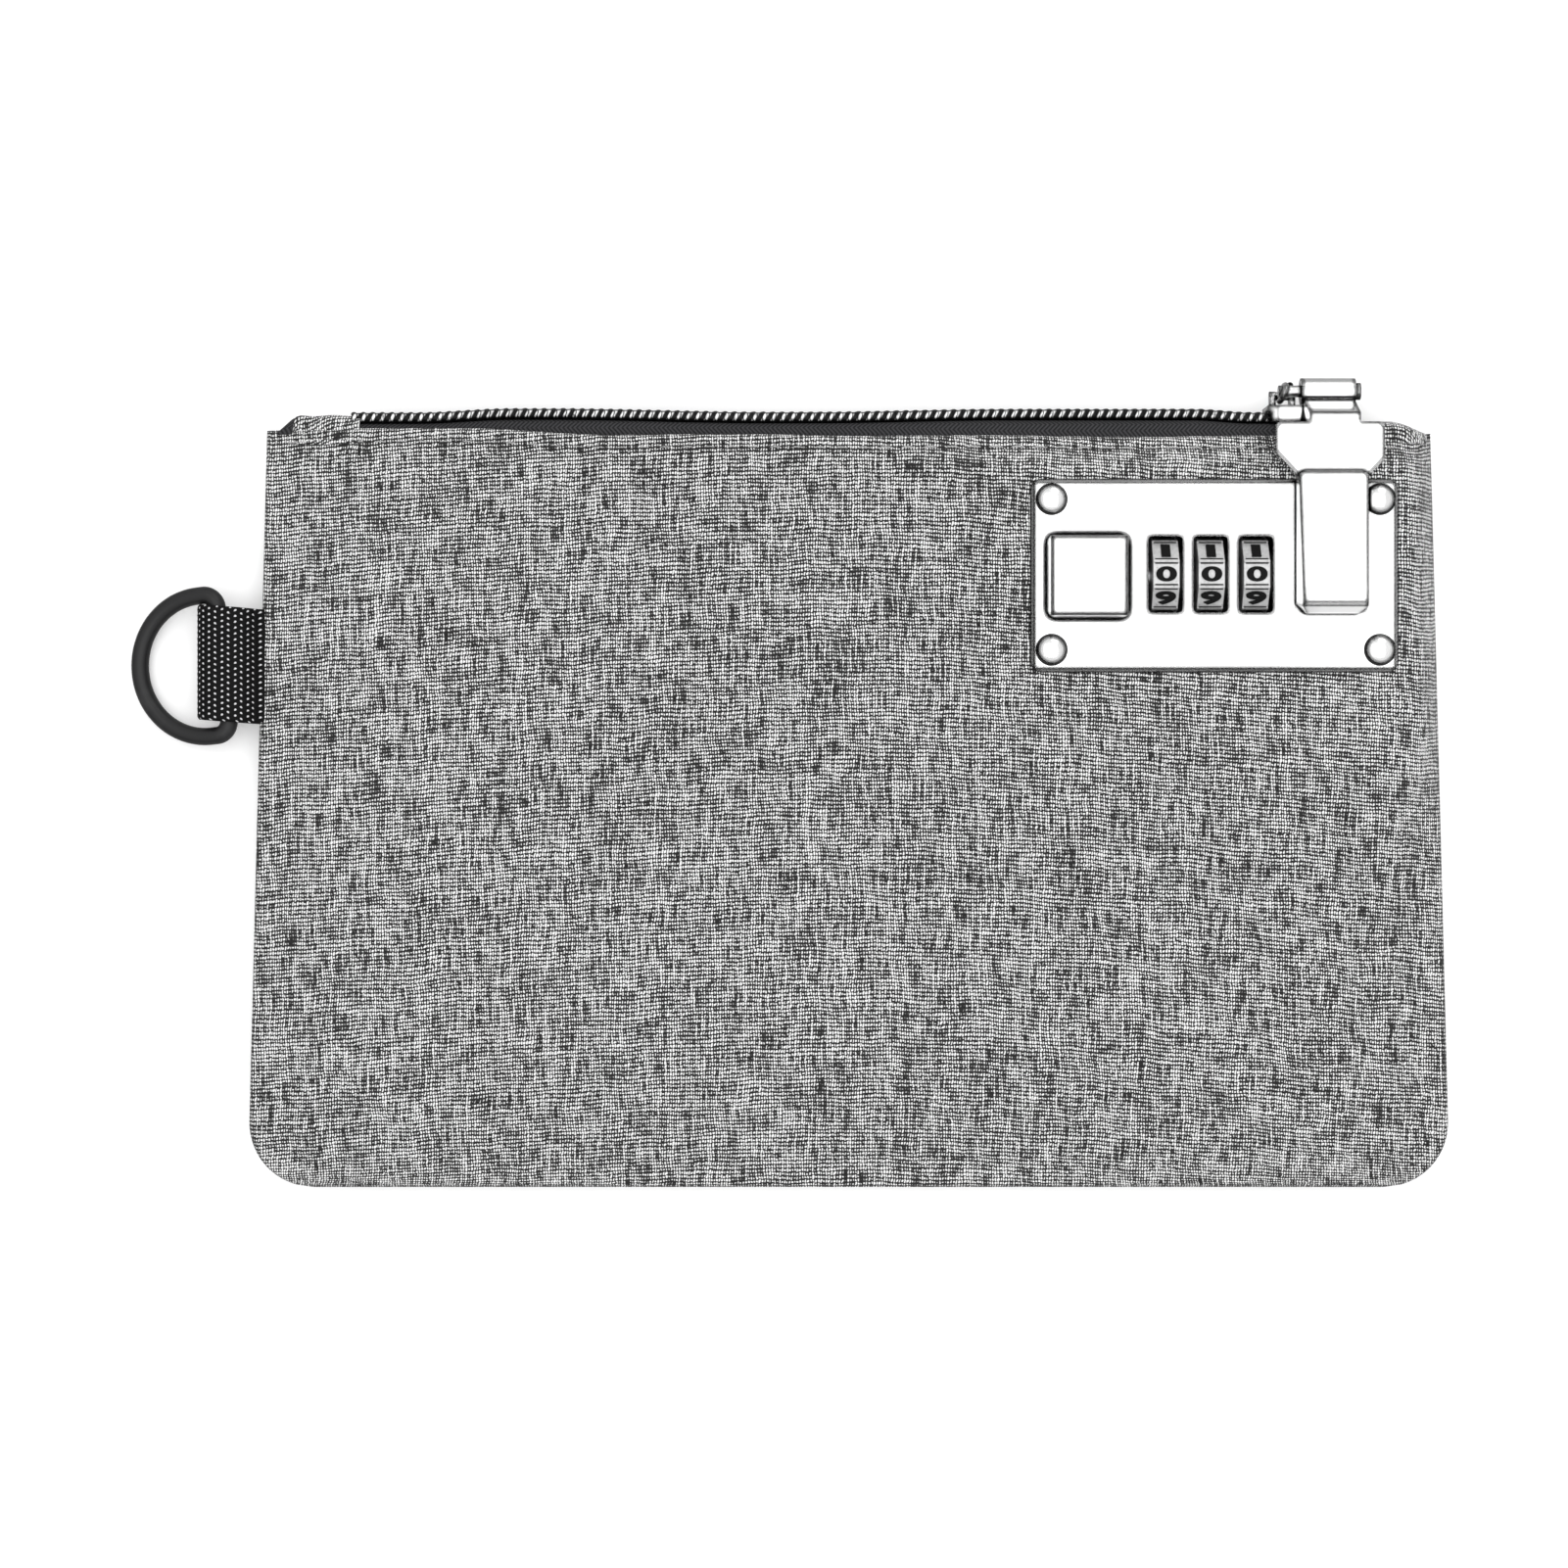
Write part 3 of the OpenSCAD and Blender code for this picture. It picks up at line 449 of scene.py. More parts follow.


def webbingNodes(s):
    place = s.node("ShaderNodeAttribute", {"attribute_name": "cloth"}, {}, 1)
    x, y, _ = s.parts(place)
    stagger = (x * (1 / strapWeave["ribPitch"])).floor() * 0.5
    dots = ((y * (1 / strapWeave["dotPitch"]) + stagger) * (2 * math.pi)).sine() * 0.5 + 0.5
    ribs = (x * (2 * math.pi / strapWeave["ribPitch"])).sine() * 0.5 + 0.5
    hairs = s.noise(place, 3.0, 3.0)
    lit = dots * ribs
    # painted highlights: pale dots on the ribs, where the threads would catch the light
    painted_highlight_spots = (lit + (hairs - 0.5) * 0.4).between(0.6, 0.88)
    colour = s.mix(painted_highlight_spots, grey(0.0025, 0.06), grey(0.62, 0.02))
    return {"Base Color": colour, "Normal": s.bump(lit + hairs * 0.3, 0.18, 0.8)}


def threadNodes(s):
    place = s.node("ShaderNodeTexCoord", {}, {}, 3)
    x, y, _ = s.parts(place)
    twist = ((x + y) * 9000.0).sine() * 0.5 + 0.5
    return {"Base Color": s.mix(twist, grey(0.22), grey(0.46)), "Normal": s.bump(twist, 0.05, 0.6)}


def ringNodes(s):
    place = s.node("ShaderNodeTexCoord", {}, {}, 3)
    grain = s.noise(place, 2600.0, 3.0)
    rub = s.noise(place, 130.0, 3.0).between(0.55, 0.75)
    colour = s.mix(rub, grey(0.012, 0.05), grey(0.03, 0.03))
    return {
        "Base Color": colour,
        "Roughness": rub * 0.12 + grain * 0.1 + 0.32,
        "Normal": s.bump(grain, 0.03, 0.35),
    }


chromeLook = dict(
    edgeSoftness=1.4,
    rim=(0.998, 0.982),  # how far a normal turns near an edge before the line of painted reflection is dark
    contactReach=1.3,
    painted_contact_shade=(0.86, 0.68),  # share of open sky near a neighbouring piece, below which painted shade darkens the plating
    clean=0.9,
    hazy=0.6,
    # colour of the painted dark lines: reflection along edges, shade beside other pieces
    line=0.008,
)


def chromeNodes(s):
    place = s.node("ShaderNodeTexCoord", {}, {}, 3)
    edge = s.node("ShaderNodeBevel", {"samples": 6}, {"Radius": chromeLook["edgeSoftness"] * mm})
    cloud = s.noise(place, 34.0, 3.0, 0.55)
    dust = s.noise(place, 2400.0, 2.0)
    hairline = s.noise(s.node("ShaderNodeMapping", {}, {0: place, 3: (5000.0, 160.0, 160.0)}), 1.0, 2.0)
    haze = cloud.between(0.42, 0.72)
    facet = s.node("ShaderNodeNewGeometry", {}, {}, 3)
    turned = s.node("ShaderNodeVectorMath", {"operation": "DOT_PRODUCT"}, {0: edge, 1: facet}, 1)
    rim = turned.between(*chromeLook["rim"])
    reach = chromeLook["contactReach"] * mm
    clear = s.node("ShaderNodeAmbientOcclusion", {"samples": 8}, {"Distance": reach}, 1)
    line = s.maths("MAXIMUM", rim, clear.between(*chromeLook["painted_contact_shade"]))
    plating = s.mix(haze, grey(chromeLook["clean"]), grey(chromeLook["hazy"]))
    # painted reflection and painted shade: near-black along sharp edges, as the dark band of the tent
    # mirrored in the plating, and next to neighbouring pieces
    colour = s.mix(line, plating, grey(chromeLook["line"]))
    rough = haze * 0.05 + hairline * 0.035 + dust * 0.02 + 0.035
    normal = s.bump(cloud + hairline * 0.01, 0.35, 0.22, edge)
    return {"Base Color": colour, "Roughness": rough, "Normal": normal}


def wheelNodes(s):
    # plated number wheel: mottled tone at random, with its edges rounded in the shading
    place = s.node("ShaderNodeTexCoord", {}, {}, 3)
    edge = s.node("ShaderNodeBevel", {"samples": 6}, {"Radius": 0.16 * mm})
    mottle = s.noise(place, 1500.0, 3.0, 0.6)
    patch = s.noise(place, 320.0, 2.0)
    colour = s.mix(mottle * 0.6 + patch * 0.4, grey(0.2), grey(0.72))
    return {"Base Color": colour, "Roughness": mottle * 0.22 + 0.2, "Normal": s.bump(mottle, 0.05, 0.5, edge)}


def steelNodes(s):
    place = s.node("ShaderNodeTexCoord", {}, {}, 3)
    drawn = s.noise(s.node("ShaderNodeMapping", {}, {0: place, 3: (300.0, 6000.0, 6000.0)}), 1.0, 3.0)
    spangle = s.noise(place, 260.0, 2.0)
    colour = s.mix(spangle, grey(0.42, 0.02), grey(0.66, 0.03))
    return {"Base Color": colour, "Roughness": drawn * 0.25 + 0.22, "Normal": s.bump(drawn, 0.03, 0.5)}


def caseNodes(s):
    place = s.node("ShaderNodeTexCoord", {}, {}, 3)
    grain = s.noise(place, 1800.0, 3.0)
    colour = s.mix(grain, grey(0.012, 0.04), grey(0.035, 0.04))
    return {"Base Color": colour, "Roughness": grain * 0.2 + 0.42, "Normal": s.bump(grain, 0.04, 0.5)}


def inkNodes(s):
    place = s.node("ShaderNodeTexCoord", {}, {}, 3)
    blotch_noise = s.noise(place, 3000.0, 2.0)
    return {"Base Color": s.mix(blotch_noise, grey(0.002), grey(0.012)), "Roughness": blotch_noise * 0.3 + 0.45}


def floorWithDarkGloss(material):
    # polished metal sees a dark table, which draws its edges, while cloth and camera see a pale one
    tree = material.node_tree
    s = Sock(tree)
    end = next(n for n in tree.nodes if n.type == "OUTPUT_MATERIAL")
    pale = Sock(tree, next(n for n in tree.nodes if n.type == "BSDF_PRINCIPLED").outputs[0])
    dark = s.node("ShaderNodeEmission", {}, {0: grey(1.0), 1: studio["glossFloor"]})
    gloss = s.node("ShaderNodeLightPath", {}, {}, 3)
    both = s.node("ShaderNodeMixShader", {}, {0: gloss, 1: pale, 2: dark})
    tree.links.new(both.socket, end.inputs[0])
    return material


def floorNodes(s):
    place = s.node("ShaderNodeTexCoord", {}, {}, 3)
    return {"Base Color": s.mix(s.noise(place, 3.0, 2.0), grey(0.93), grey(0.95))}


canvas = newFinish("heather_canvas", canvasNodes, roughness=0.9, sheen=0.15, sheenRoughness=0.5, specular=0.2)
lining = newFinish("black_lining", liningNodes, roughness=0.7, specular=0.3)
tape = newFinish("herringbone_tape", tapeNodes, roughness=0.75, specular=0.08)
nylon = newFinish("coil_nylon", coilNodes, specular=0.16)
webbing = newFinish("ribbed_webbing", webbingNodes, roughness=0.6, specular=0.1)
thread = newFinish("grey_thread", threadNodes, roughness=0.6)
ringPlastic = newFinish("satin_ring_plastic", ringNodes, specular=0.28)
chrome = newFinish("bright_chrome", chromeNodes, metallic=1.0)
wheelPlate = newFinish("plated_wheel", wheelNodes, metallic=0.45)
steel = newFinish("zinc_steel", steelNodes, metallic=1.0)
casePlastic = newFinish("lock_case_black", caseNodes)
ink = newFinish("digit_ink", inkNodes, specular=0.06)
print("finishes made")


def finishPiece(piece, material, body, slotName, *nodes):
    piece.data.materials.clear()
    piece.data.materials.append(material)
    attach(piece, body)
    if nodes:
        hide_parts(*nodes)
    return piece


def edgeSpaced(count, crowd):
    # values from -1 to 1, closer together at both ends
    t = np.linspace(-1, 1, count)
    return (1 - crowd) * t + crowd * np.sin(t * math.pi / 2)


def panelPlaces(low=0.0, high=None, inset=1.0):
    span = bag["topY"] - bag["bottomY"]
    high = span if high is None else high
    columns = edgeSpaced(int(bag["bottomWidth"] / bag["gridStep"]), 0.45) * inset
    rows = edgeSpaced(int((high - low) / bag["gridStep"]), 0.4)
    y = bag["bottomY"] + low + (rows + 1) / 2 * (high - low)
    flatY = np.repeat(y[:, None], len(columns), 1)
    return bag["middleX"] + columns[None, :] * halfWidth(flatY), flatY


def hemShape(below):
    # the folded hem stands a little proud above its line of stitches
    groove = np.exp(-(((below - bag["stitchInset"]) / 0.5) ** 2)) * 0.4
    return 0.3 * smooth((bag["stitchInset"] + 2 - below) / 2) - groove


clothRun = dict(
    step=5.0,
    frames=16,
    quality=6,
    mass=0.3,
    stretch=12,
    bending=4,
    gravity=0.25,
    pressure=0.6,
    heldPastLock=(46, 27),  # half width and half height of the part that the lock holds still
    farthest=3,  # in wave heights
)


def settle():
    # a short cloth run: the filled bag presses on its panels, held at the seams and round the lock
    run = clothRun
    span = bag["topY"] - bag["bottomY"]
    columns = np.linspace(-1, 1, int(bag["bottomWidth"] / run["step"]) + 1)
    y = bag["bottomY"] + np.linspace(0, 1, int(span / run["step"]) + 1) * span
    flatY = np.repeat(y[:, None], len(columns), 1)
    x = bag["middleX"] + columns[None, :] * halfWidth(flatY)
    moves = []
    for side, inside in ((1, frontInside), (-1, backInside)):
        z = inside(x, flatY) + wrinkles(x, flatY, side) * 2
        grid = np.stack([x, flatY, z], 2)
        rows, cols = grid.shape[:2]
        index = np.arange(rows * cols).reshape(rows, cols)
        quads = np.stack([index[:-1, :-1], index[:-1, 1:], index[1:, 1:], index[1:, :-1]], 2).reshape(-1, 4)
        test = addMesh("settle_test", grid.reshape(-1, 3), quads)
        held = test.vertex_groups.new(name="held")
        nearLock = np.abs(x - plateMiddle[0]) < run["heldPastLock"][0]
        nearLock &= (np.abs(flatY - plateMiddle[1]) < run["heldPastLock"][1]) & (side > 0)
        edge = np.zeros_like(nearLock)
        edge[0, :] = edge[:, 0] = edge[:, -1] = edge[-1, :] = True
        held.add([int(k) for k in index[nearLock | edge]], 1.0, "REPLACE")
        cloth = test.modifiers.new("settle", "CLOTH")
        cloth.settings.quality = run["quality"]
        cloth.settings.mass = run["mass"]
        cloth.settings.tension_stiffness = run["stretch"]
        cloth.settings.compression_stiffness = run["stretch"]
        cloth.settings.bending_stiffness = run["bending"]
        cloth.settings.vertex_group_mass = "held"
        cloth.settings.effector_weights.gravity = run["gravity"]
        cloth.settings.use_pressure = True
        cloth.settings.uniform_pressure_force = run["pressure"] * side
        cloth.collision_settings.use_self_collision = False
        cloth.point_cache.frame_start, cloth.point_cache.frame_end = 1, run["frames"]
        for number in range(1, run["frames"] + 1):
            bpy.context.scene.frame_set(number)
        found = test.evaluated_get(bpy.context.evaluated_depsgraph_get()).to_mesh()
        after = np.zeros(len(found.vertices) * 3)
        found.vertices.foreach_get("co", after)
        move = after.reshape(rows, cols, 3)[:, :, 2] / mm - grid[:, :, 2]
        farthest = bag["waveHeight"] * run["farthest"]
        moves.append(np.clip(move, -farthest, farthest))
        bpy.data.objects.remove(test)
    bpy.context.scene.frame_set(1)
    return columns, y, moves


def spread(columns, rows, move, x, y):
    # the coarse run's movement read at any place of the fine grid, smoothed
    u = (x - bag["middleX"]) / halfWidth(y)
    i = np.clip((u - columns[0]) / (columns[1] - columns[0]), 0, len(columns) - 1.001)
    j = np.clip((y - rows[0]) / (rows[1] - rows[0]), 0, len(rows) - 1.001)
    i0, j0 = i.astype(int), j.astype(int)
    s, t = smooth(i - i0), smooth(j - j0)
    low = move[j0, i0] * (1 - s) + move[j0, i0 + 1] * s
    high = move[j0 + 1, i0] * (1 - s) + move[j0 + 1, i0 + 1] * s
    return low * (1 - t) + high * t


settled = settle()


def clothMove(x, y, side):
    move = wrinkles(x, y, side)
    if settled:
        move = move + spread(settled[0], settled[1], settled[2][0 if side > 0 else 1], x, y)
    if side < 0:
        # the flat underside rests on the table, so its cloth only lifts away from it
        move = np.maximum(move, -0.4) * 0.5 + 0.2
        fromSide = halfWidth(y) - np.abs(x - bag["middleX"])
        return move * smooth(fromSide / 20) * smooth((y - bag["bottomY"]) / 20)
    return move


def panelCloth(name, side, node):
    x, y = panelPlaces()
    inside = frontInside(x, y) if side > 0 else backInside(x, y)
    drop = mouthDrop(x) * (1 if side > 0 else 0.35)
    placedY = y - drop * smooth((y - bag["topY"] + 14) / 14)
    inner = inside + clothMove(x, y, side)
    fromEdge = np.minimum(halfWidth(y) - np.abs(x - bag["middleX"]), y - bag["bottomY"])
    fromMouth = bag["topY"] - y
    t = bag["clothThickness"]
    rounded = np.sqrt(np.maximum(0.02, 1 - (1 - clamp01(fromEdge / 1.1)) ** 2))
    fold = np.sqrt(np.maximum(0.03, 1 - (1 - clamp01(fromMouth / 0.9)) ** 2))
    outer = inner + side * (t * rounded * fold + hemShape(fromMouth) * smooth(fromEdge / 6) * fold)
    if side < 0:
        outer = np.maximum(outer, 0.0)
        inner = np.maximum(inner, outer + 0.15)
    grids = [np.stack([x, placedY, z], 2) for z in ((outer, inner) if side > 0 else (inner, outer))]
    keep = None
    if side > 0:
        cellX = (x[:-1, :-1] + x[1:, 1:]) / 2
        cellY = (y[:-1, :-1] + y[1:, 1:]) / 2
        gap = 0.9
        inCase = (cellX > caseLow[0] - gap) & (cellX < caseHigh[0] + gap)
        inCase &= (cellY > caseLow[1] - gap) & (cellY < caseHigh[1] + gap)
        keep = ~inCase
    shadow = 0.75 * np.exp(-(((fromMouth - bag["stitchInset"] - 0.3) / 0.42) ** 2)) * smooth(fromEdge / 5)
    shadow = shadow + 0.5 * (1 - smooth(fromEdge / 1.2)) + 0.3 * (1 - smooth(fromMouth / 0.7))
    piece = sheetMesh(name, grids[0], grids[1], keep, shadow)
    return finishPiece(piece, canvas, "bag", "canvas", node)


def panelLining(name, side, node):
    low, high = boxMm(node)
    x, y = panelPlaces(low[1] - bag["bottomY"], high[1] - bag["bottomY"], 0.95)
    base = frontInside(x, y) if side > 0 else backInside(x, y)
    near = base + clothMove(x, y, side) - side * 0.12
    far = near - side * bag["liningThickness"]
    if side < 0:
        near = near + 0.2
        far = far + 0.2
    grids = [np.stack([x, y, z], 2) for z in ((near, far) if side > 0 else (far, near))]
    keep = None
    if side > 0:
        cellX = (x[:-1, :-1] + x[1:, 1:]) / 2
        cellY = (y[:-1, :-1] + y[1:, 1:]) / 2
        underPlate = (cellX > plateLow[0] - 0.6) & (cellX < plateHigh[0] + 0.6)
        underPlate &= (cellY > plateLow[1] - 0.6) & (cellY < plateHigh[1] + 3)
        keep = ~underPlate
    piece = sheetMesh(name, grids[0], grids[1], keep)
    return finishPiece(piece, lining, "bag", "lining", node)


panelCloth("front_cloth", 1, "front_panel")
panelCloth("back_cloth", -1, "back_panel")
panelLining("front_lining_cloth", 1, "lining_front")
panelLining("back_lining_cloth", -1, "lining_back")
print("panels and linings made")


def topStitches():
    look = dict(pitch=4.6, length=3.7, radius=0.2, firstX=-104.0, lastX=128.5)
    parts = []
    for x in np.arange(look["firstX"], look["lastX"], look["pitch"]):
        t = np.linspace(-0.5, 0.5, 9)
        px = x + t * look["length"]
        arc = np.cos(t * math.pi)
        y = np.full_like(px, bag["topY"] - bag["stitchInset"])
        inside = frontInside(px, y) + clothMove(px, y, 1) + bag["clothThickness"] - 0.12
        py = y - mouthDrop(px) * smooth((y - bag["topY"] + 14) / 14) + 0.25 * arc
        path = np.stack([px, py, inside + 0.24 * arc - 0.14], 1)
        parts.append(tube(path, look["radius"] * (0.55 + 0.45 * arc)))
    return finishPiece(joinParts("mouth_stitches", parts), thread, "bag", "canvas")


topStitches()


zipLook = dict(
    tapeThickness=0.5,
    tapeBelow=7.2,  # how far the tape reaches down inside the mouth
)


def chainRise(x):
    # the chain isn't dead straight: it bows up a little between its ends
    left = smooth((x + 78) / 20) * (1 - smooth((x + 50) / 45))
    right = smooth((x - 5) / 40) * smooth((97 - x) / 12)
    return 0.75 * left + 0.6 * right + 0.1 * smooth((x + 78) / 20) * smooth((97 - x) / 12)


def zipTape(name, side, node):
    x0, x1 = tapeLow[0] - 2.6, min(tapeHigh[0], tabRightLow[0] - 2.0)
    x = np.linspace(x0, x1, int((x1 - x0) / 1.6))
    inside = frontInside if side > 0 else backInside
    mouthY = bag["topY"]
    seam = bag["seamZ"]
    rows = []
    lowY = mouthY - zipLook["tapeBelow"]
    for y in np.linspace(lowY, mouthY - 1.9, 9):
        yy = np.full_like(x, y)
        z = inside(x, yy) + clothMove(x, yy, side) - side * 0.35
        rows.append(np.stack([x, yy, z], 1))
    shoulderZ = rows[-1][:, 2]
    shoulderY = mouthY - 1.9
    reachY = coilLow[1] - 0.05 - shoulderY
    dropZ = shoulderZ - (seam + side * 1.7)
    for a in np.linspace(0, math.pi / 2, 22)[1:]:
        y = shoulderY + (reachY + chainRise(x)) * math.sin(a)
        z = shoulderZ - dropZ * (1 - math.cos(a)) ** 1.25
        rows.append(np.stack([x, y, z], 1))
    near = np.array(rows)
    far = thicken(near, side * zipLook["tapeThickness"])
    top, under = (near, far) if side > 0 else (far, near)
    return finishPiece(sheetMesh(name, top, under), tape, "bag", "zip_tape", node)


def coilHalf(name, side, node):
    low, high = boxMm(node)
    seam = bag["seamZ"]
    wire, pitch = chain["wire"], chain["pitch"]
    outZ = side * ((high[2] - seam) if side > 0 else (seam - low[2]))
    inZ = -side * chain["reach"]
    middleZ = seam + (outZ + inZ) / 2
    halfZ = abs(outZ - inZ) / 2 - wire
    halfY = (high[1] - low[1]) / 2 - wire + 0.1
    middleY = chain["middleY"]
    first = chain["firstCrest"] - 0.5 + (0 if side > 0 else pitch / 2)
    turns = int((high[0] - first - 1) / pitch)
    t = np.linspace(0, turns, turns * 16 + 1)
    x = first + pitch * (t + chain["lean"] * np.sin(4 * math.pi * t))
    y = middleY + chainRise(x) + halfY * np.cos(2 * math.pi * t)
    z = middleZ + side * halfZ * np.sin(2 * math.pi * t)
    coreX = np.linspace(first, high[0] - 0.5, 160)
    coreY = middleY + chainRise(coreX)
    core = tube(np.stack([coreX, coreY, np.full_like(coreX, middleZ + side * 0.35)], 1), chain["core"], 10)
    piece = joinParts(name, [tube(np.stack([x, y, z], 1), wire, 8), core])
    return finishPiece(piece, nylon, "bag", "zip_coil", node)


def endTab(name, low, high, topLine, node):
    # cloth folded over the tape's end: up from inside one panel, round, and down into the other
    x = np.linspace(low[0], high[0], 44)
    seam = bag["seamZ"]
    t = bag["clothThickness"]
    mouth = bag["topY"]
    top = topLine(x) - t
    rows = []
    for a in np.linspace(-1, 1, 57):
        side = 1 if a > 0 else -1
        inside = frontInside if a > 0 else backInside
        startY = np.full_like(x, mouth - 3.2)
        outZ = inside(x, startY) - side * 0.3
        bend = np.abs(a)
        spin = (1 - bend) * math.pi / 2
        y = startY + (top - startY) * math.sin(spin) ** 0.9
        inward = math.cos(spin) ** 0.25 if bend < 1 else 1
        z = seam + (outZ - seam) * (1 - (1 - math.cos(spin)) ** 1.6) * inward
        z = z + 0.1 * np.sin(x / 1.9 + 3 * a) * math.sin(spin)
        rows.append(np.stack([x, y, z], 1))
    under = np.array(rows)
    over = thicken(under, t)
    return finishPiece(sheetMesh(name, under, over), canvas, "bag", "canvas", node)


zipTape("front_zip_tape_cloth", 1, "zip_tape_front")
zipTape("back_zip_tape_cloth", -1, "zip_tape_back")
coilHalf("front_coil", 1, "zip_coil_front")
coilHalf("back_coil", -1, "zip_coil_back")
endTab(
    "left_end_tab",
    tabLeftLow,
    tabLeftHigh,
    lambda x: bag["topY"] + 0.5 + 2.7 * smooth((x + 107) / 4.5) + 0.12 * np.sin(x / 1.3),
    "zip_end_tab_left",
)
endTab(
    "right_end_tab",
    tabRightLow - [3.4, 0, 0],
    tabRightHigh,
    lambda x: bag["topY"] + 1.9 - 2.6 * smooth((x - 126) / 9),
    "zip_end_tab_right",
)


def tapeEnd():
    # the cut corner of the tape that peeps out beside the left tab
    look = dict(base=3.4, reach=2.2, lean=3.1, firstX=-107.6, thickness=0.5)
    rows = []
    for t in np.linspace(0, 1, 9):
        width = look["base"] * (1 - 0.86 * t)
        s = np.linspace(0, 1, 9)
        x = look["firstX"] + look["lean"] * t + s * width
        y = np.full_like(x, bag["topY"] - 0.9 + (look["reach"] + 0.9) * t)
        z = bag["seamZ"] + 2.6 - 1.3 * t + 0.25 * np.sin(s * math.pi)
        rows.append(np.stack([x, y, z], 1))
    near = np.array(rows)
    piece = sheetMesh("tape_cut_end", near, thicken(near, look["thickness"]))
    return finishPiece(piece, tape, "bag", "zip_tape")


tapeEnd()


def eyeRing():
    # a wire ring that joins the slider's bridge to the hasp's pin
    look = dict(wire=0.68, turn=24, lap=0.5)
    linkLow, linkHigh = boxMm("eye_link")
    middle = (linkLow + linkHigh) / 2
    t = np.linspace(0, 2 * math.pi * 1.04, 60)
    half = (linkHigh - linkLow) / 2 - look["wire"]
    side = half[1] * np.cos(t)
    lean = math.radians(look["turn"])
    x = middle[0] + side * math.sin(lean) + look["lap"] * (t / math.pi - 1)
    y = middle[1] + side * math.cos(lean)
    z = middle[2] + half[2] * np.sin(t)
    wire = tube(np.stack([x, y, z], 1), look["wire"], 12)
    piece = joinParts("eye_ring", [wire])
    return finishPiece(piece, chrome, "eye_link", "chrome", "eye_link")


eyeRing()
print("zip made")


def webbingStrap():
    look = dict(
        thickness=1.25,
        ribHeight=0.16,
        edgeRound=0.7,
        slant=0.07,  # the strap leaves the seam a little askew
        lift=0.35,
        seamX=-110.1,  # where it goes into the side seam
    )
    middle = (webLow + webHigh) / 2
    half = (webHigh[2] - webLow[2]) / 2 - 0.1
    bendX = webLow[0] + half + 0.1
    seam = bag["seamZ"]
    # X and height above the seam: out of the seam and up over the ring's bar
    key = [(look["seamX"], 0.15), (-110.8, 0.2), (-112.0, 0.75), (-113.2, 2.0), (-115.0, 3.2), (bendX, half)]
    keyX = np.array([k[0] for k in key])
    keyZ = np.array([k[1] for k in key])
    runX = np.linspace(look["seamX"], bendX, 48)
    runZ = np.interp(-runX, -keyX, keyZ)
    runZ = np.convolve(np.pad(runZ, 3, mode="edge"), np.ones(7) / 7, mode="valid")
    angle = np.linspace(0, math.pi, 44)[1:-1]
    x = np.concatenate([runX, bendX - half * np.sin(angle), runX[::-1]])
    z = np.concatenate([runZ, half * np.cos(angle), -runZ[::-1]])
    length = np.concatenate([[0], np.cumsum(np.hypot(np.diff(x), np.diff(z)))])
    fine = np.arange(0, length[-1], 0.2)
    x, z = np.interp(fine, length, x), np.interp(fine, length, z)
    across = np.linspace(webLow[1], webHigh[1], 74)
    edge = np.minimum(across - webLow[1], webHigh[1] - across)
    rolled = np.sqrt(np.maximum(0.12, 1 - (1 - clamp01(edge / look["edgeRound"])) ** 2))
    rib = np.abs(np.sin(fine * math.pi / strapWeave["ribPitch"])) ** 0.7
    dot = 0.75 + 0.25 * np.sin(across * 2 * math.pi / strapWeave["dotPitch"])
    slant = look["slant"] * (x - webLow[0]) - look["lift"]
    outer = np.stack(np.broadcast_arrays(x[None, :], across[:, None] - slant[None, :], seam + z[None, :]), 2)
    inner = thicken(outer, -look["thickness"])
    normal = (outer - inner) / look["thickness"]
    relief = (rib[None, :] * dot[:, None] - 1) * look["ribHeight"]
    centre = (outer + inner) / 2
    outerFinal = centre + normal * (look["thickness"] / 2 * rolled[:, None] + relief)[:, :, None]
    innerFinal = centre - normal * (look["thickness"] / 2 * rolled[:, None])[:, :, None]
    piece = sheetMesh("ring_strap", outerFinal, innerFinal)
    return finishPiece(piece, webbing, "bag", "webbing", "webbing_loop")


webbingStrap()
print("strap made")


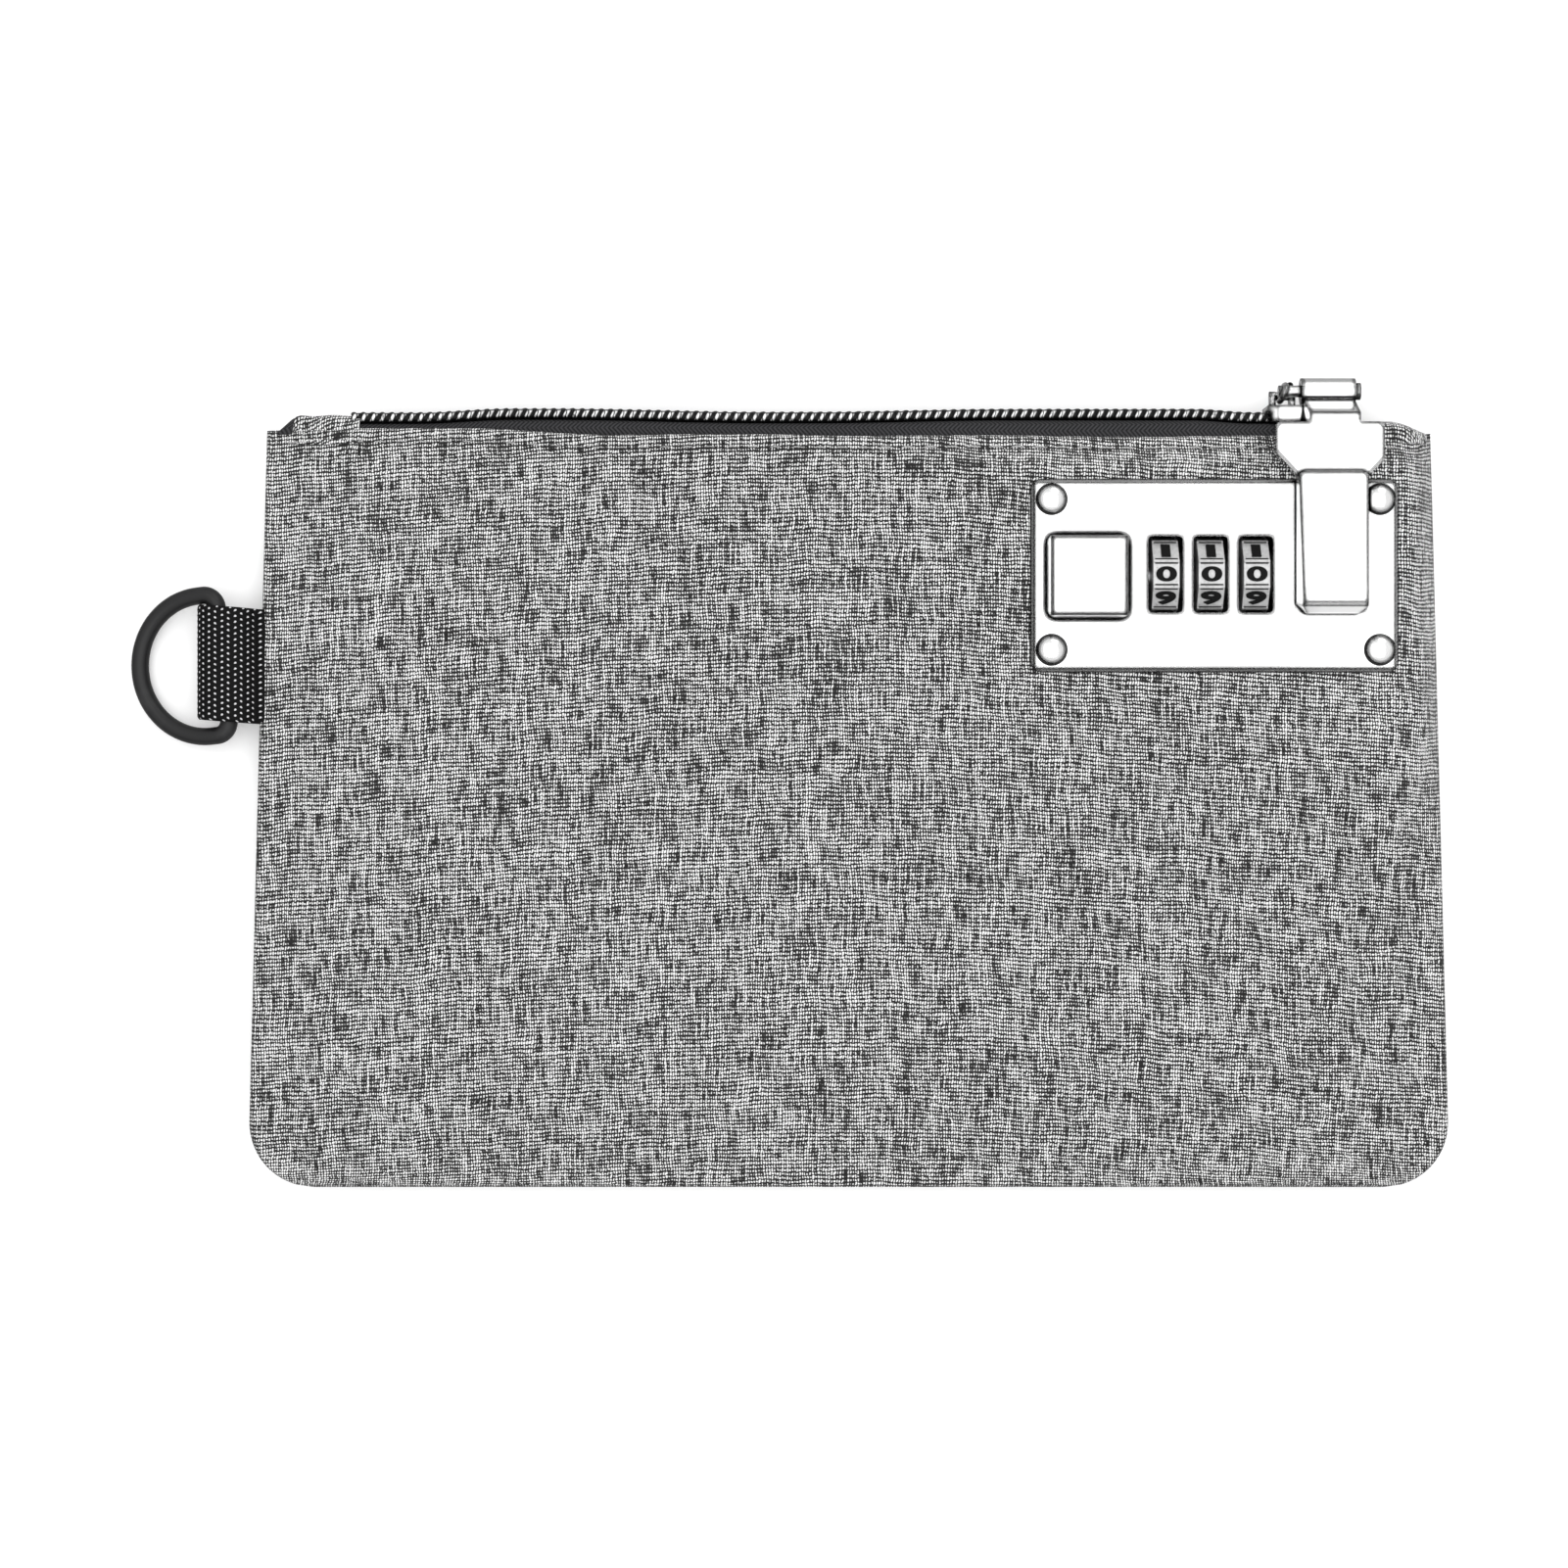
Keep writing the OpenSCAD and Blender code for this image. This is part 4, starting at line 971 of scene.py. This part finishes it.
def wheelDigits(number):
    look = dict(width=4.3, height=3.15, raised=0.07, weight=0.035, lineAt=2.2, lineWidth=0.24)
    node = f"dial_{number}"
    low, high = boxMm(node)
    middle = (low + high) / 2
    flatAt = high[2] - middle[2]  # the wheel rests with one flat upward
    parts = []

    def onFlat(verts, turn):
        out = flatAt + look["raised"] - 0.15 + verts[:, 2]
        y = verts[:, 1] * math.cos(turn) + out * math.sin(turn)
        z = -verts[:, 1] * math.sin(turn) + out * math.cos(turn)
        return np.stack([verts[:, 0] + middle[0], y + middle[1], z + middle[2]], 1)

    for digit in range(10):
        curve = bpy.data.curves.new("digit", "FONT")
        curve.body = str(digit)
        curve.extrude = 0.5
        curve.offset = look["weight"]
        curve.resolution_u = 6
        text = bpy.data.objects.new("digit", curve)
        bpy.context.scene.collection.objects.link(text)
        found = text.evaluated_get(bpy.context.evaluated_depsgraph_get()).to_mesh()
        verts = np.zeros(len(found.vertices) * 3)
        found.vertices.foreach_get("co", verts)
        verts = verts.reshape(-1, 3)
        faces = [list(p.vertices) for p in found.polygons]
        bpy.data.objects.remove(text)
        bpy.data.curves.remove(curve)
        size = verts.max(0) - verts.min(0)
        verts = verts - (verts.max(0) + verts.min(0)) / 2
        width = look["width"] * (0.45 if digit == 1 else 1.0)
        verts = verts * [width / size[0], look["height"] / size[1], 0.3 / size[2]]
        turn = math.radians(36 * digit)
        parts.append((onFlat(verts, turn), faces))
        for edge in (-1, 1):
            ends = np.array([[-2.35, edge * look["lineAt"], 0.05], [2.35, edge * look["lineAt"], 0.05]])
            line = tube(np.linspace(ends[0], ends[1], 6), look["lineWidth"] / 2, 6)
            parts.append((onFlat(line[0], turn), line[1]))
    piece = joinParts(f"wheel_digits_{number}", parts)
    piece.data.polygons.foreach_set("use_smooth", [False] * len(piece.data.polygons))
    return finishPiece(piece, ink, node, "dial")


for number in (1, 2, 3):
    wheelDigits(number)
print("digits made")


keptFinishes = {
    chrome: "lock_plate rivets release_button hasp slider_body slider_bridge hasp_pin",
    wheelPlate: "dial_1 dial_2 dial_3",
    steel: "backing_plate dial_axle detent_spring button_spring latch_bar latch_spring hasp_catch",
    casePlastic: "lock_case dial_cam_1 dial_cam_2 dial_cam_3",
    ringPlastic: "d_ring",
}
for material, names in keptFinishes.items():
    for name in names.split():
        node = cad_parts[name]
        if not node.material_slots:
            node.data.materials.append(material)
        for slot in node.material_slots:
            slot.material = material
print("kept parts finished")


studio = dict(
    floorSize=40.0,
    softboxSize=1.7,
    softboxHeight=1.35,
    softboxPower=10.4,
    tentLight=1.0,
    tentDark=0.015,
    darkTop=0.1,  # height of the dark band
    darkLean=0.1,  # how much higher it is on the left and near sides
    darkFade=(-0.03, 0.12),
    roomLight=0.97,
    floorGlow=0.12,
    glossFloor=0.5,
    cameraHeight=0.658,
    cameraX=-0.00103,
    cameraY=-0.00031,
    lens=70.95,
)


def lightTent():
    # a white tent with a dark band at the bottom, which is higher on the left and near sides
    world = bpy.data.worlds.new("studio")
    world.use_nodes = True
    tree = world.node_tree
    tree.nodes.clear()
    s = Sock(tree)
    x, y, z = s.parts(s.node("ShaderNodeTexCoord", {}, {}, 0))
    darkTop = studio["darkTop"] - (x + y) * studio["darkLean"]
    light = (z - darkTop).between(*studio["darkFade"])
    seen = s.node("ShaderNodeLightPath", {}, {}, 0)  # the camera itself sees a pale room all round
    tent = light * studio["tentLight"] + studio["tentDark"]
    strength = s.maths("MAXIMUM", tent, seen * studio["roomLight"])
    sky = s.node("ShaderNodeBackground", {}, {0: grey(1.0), 1: strength})
    s.node("ShaderNodeOutputWorld", {}, {0: sky})
    bpy.context.scene.world = world


def makeStudio():
    size = studio["floorSize"]
    steps = np.linspace(-size / 2, size / 2, 9) / mm
    x, y = np.meshgrid(steps, steps)
    grid = np.stack([x, y, np.full_like(x, -0.15)], 2)
    floor = sheetMesh("floor", grid, grid - [0, 0, 20])
    pale = newFinish(
        "pale_floor", floorNodes, roughness=0.8, specular=0.1, glow=studio["floorGlow"], glowColour=grey(1.0)
    )
    floor.data.materials.append(floorWithDarkGloss(pale))
    for name, place, side, power in (
        ("softbox", (0, 0, studio["softboxHeight"]), studio["softboxSize"], studio["softboxPower"]),
        ("low_fill", (0.6, 1.4, 1.0), 0.9, 3.0),
    ):
        light = bpy.data.lights.new(name, "AREA")
        light.size = side
        light.energy = power
        lamp = bpy.data.objects.new(name, light)
        lamp.location = place
        lamp.rotation_mode = "QUATERNION"
        lamp.rotation_quaternion = (Vector() - Vector(place)).to_track_quat("-Z", "Y")
        bpy.context.scene.collection.objects.link(lamp)
    lightTent()
    bpy.context.scene.view_settings.view_transform = "Standard"
    camera = bpy.data.cameras.new("camera")
    camera.sensor_width = 36
    camera.lens = studio["lens"]
    eye = bpy.data.objects.new("camera", camera)
    eye.location = (studio["cameraX"], studio["cameraY"], studio["cameraHeight"])
    bpy.context.scene.collection.objects.link(eye)
    bpy.context.scene.camera = eye


makeStudio()
print("studio made")
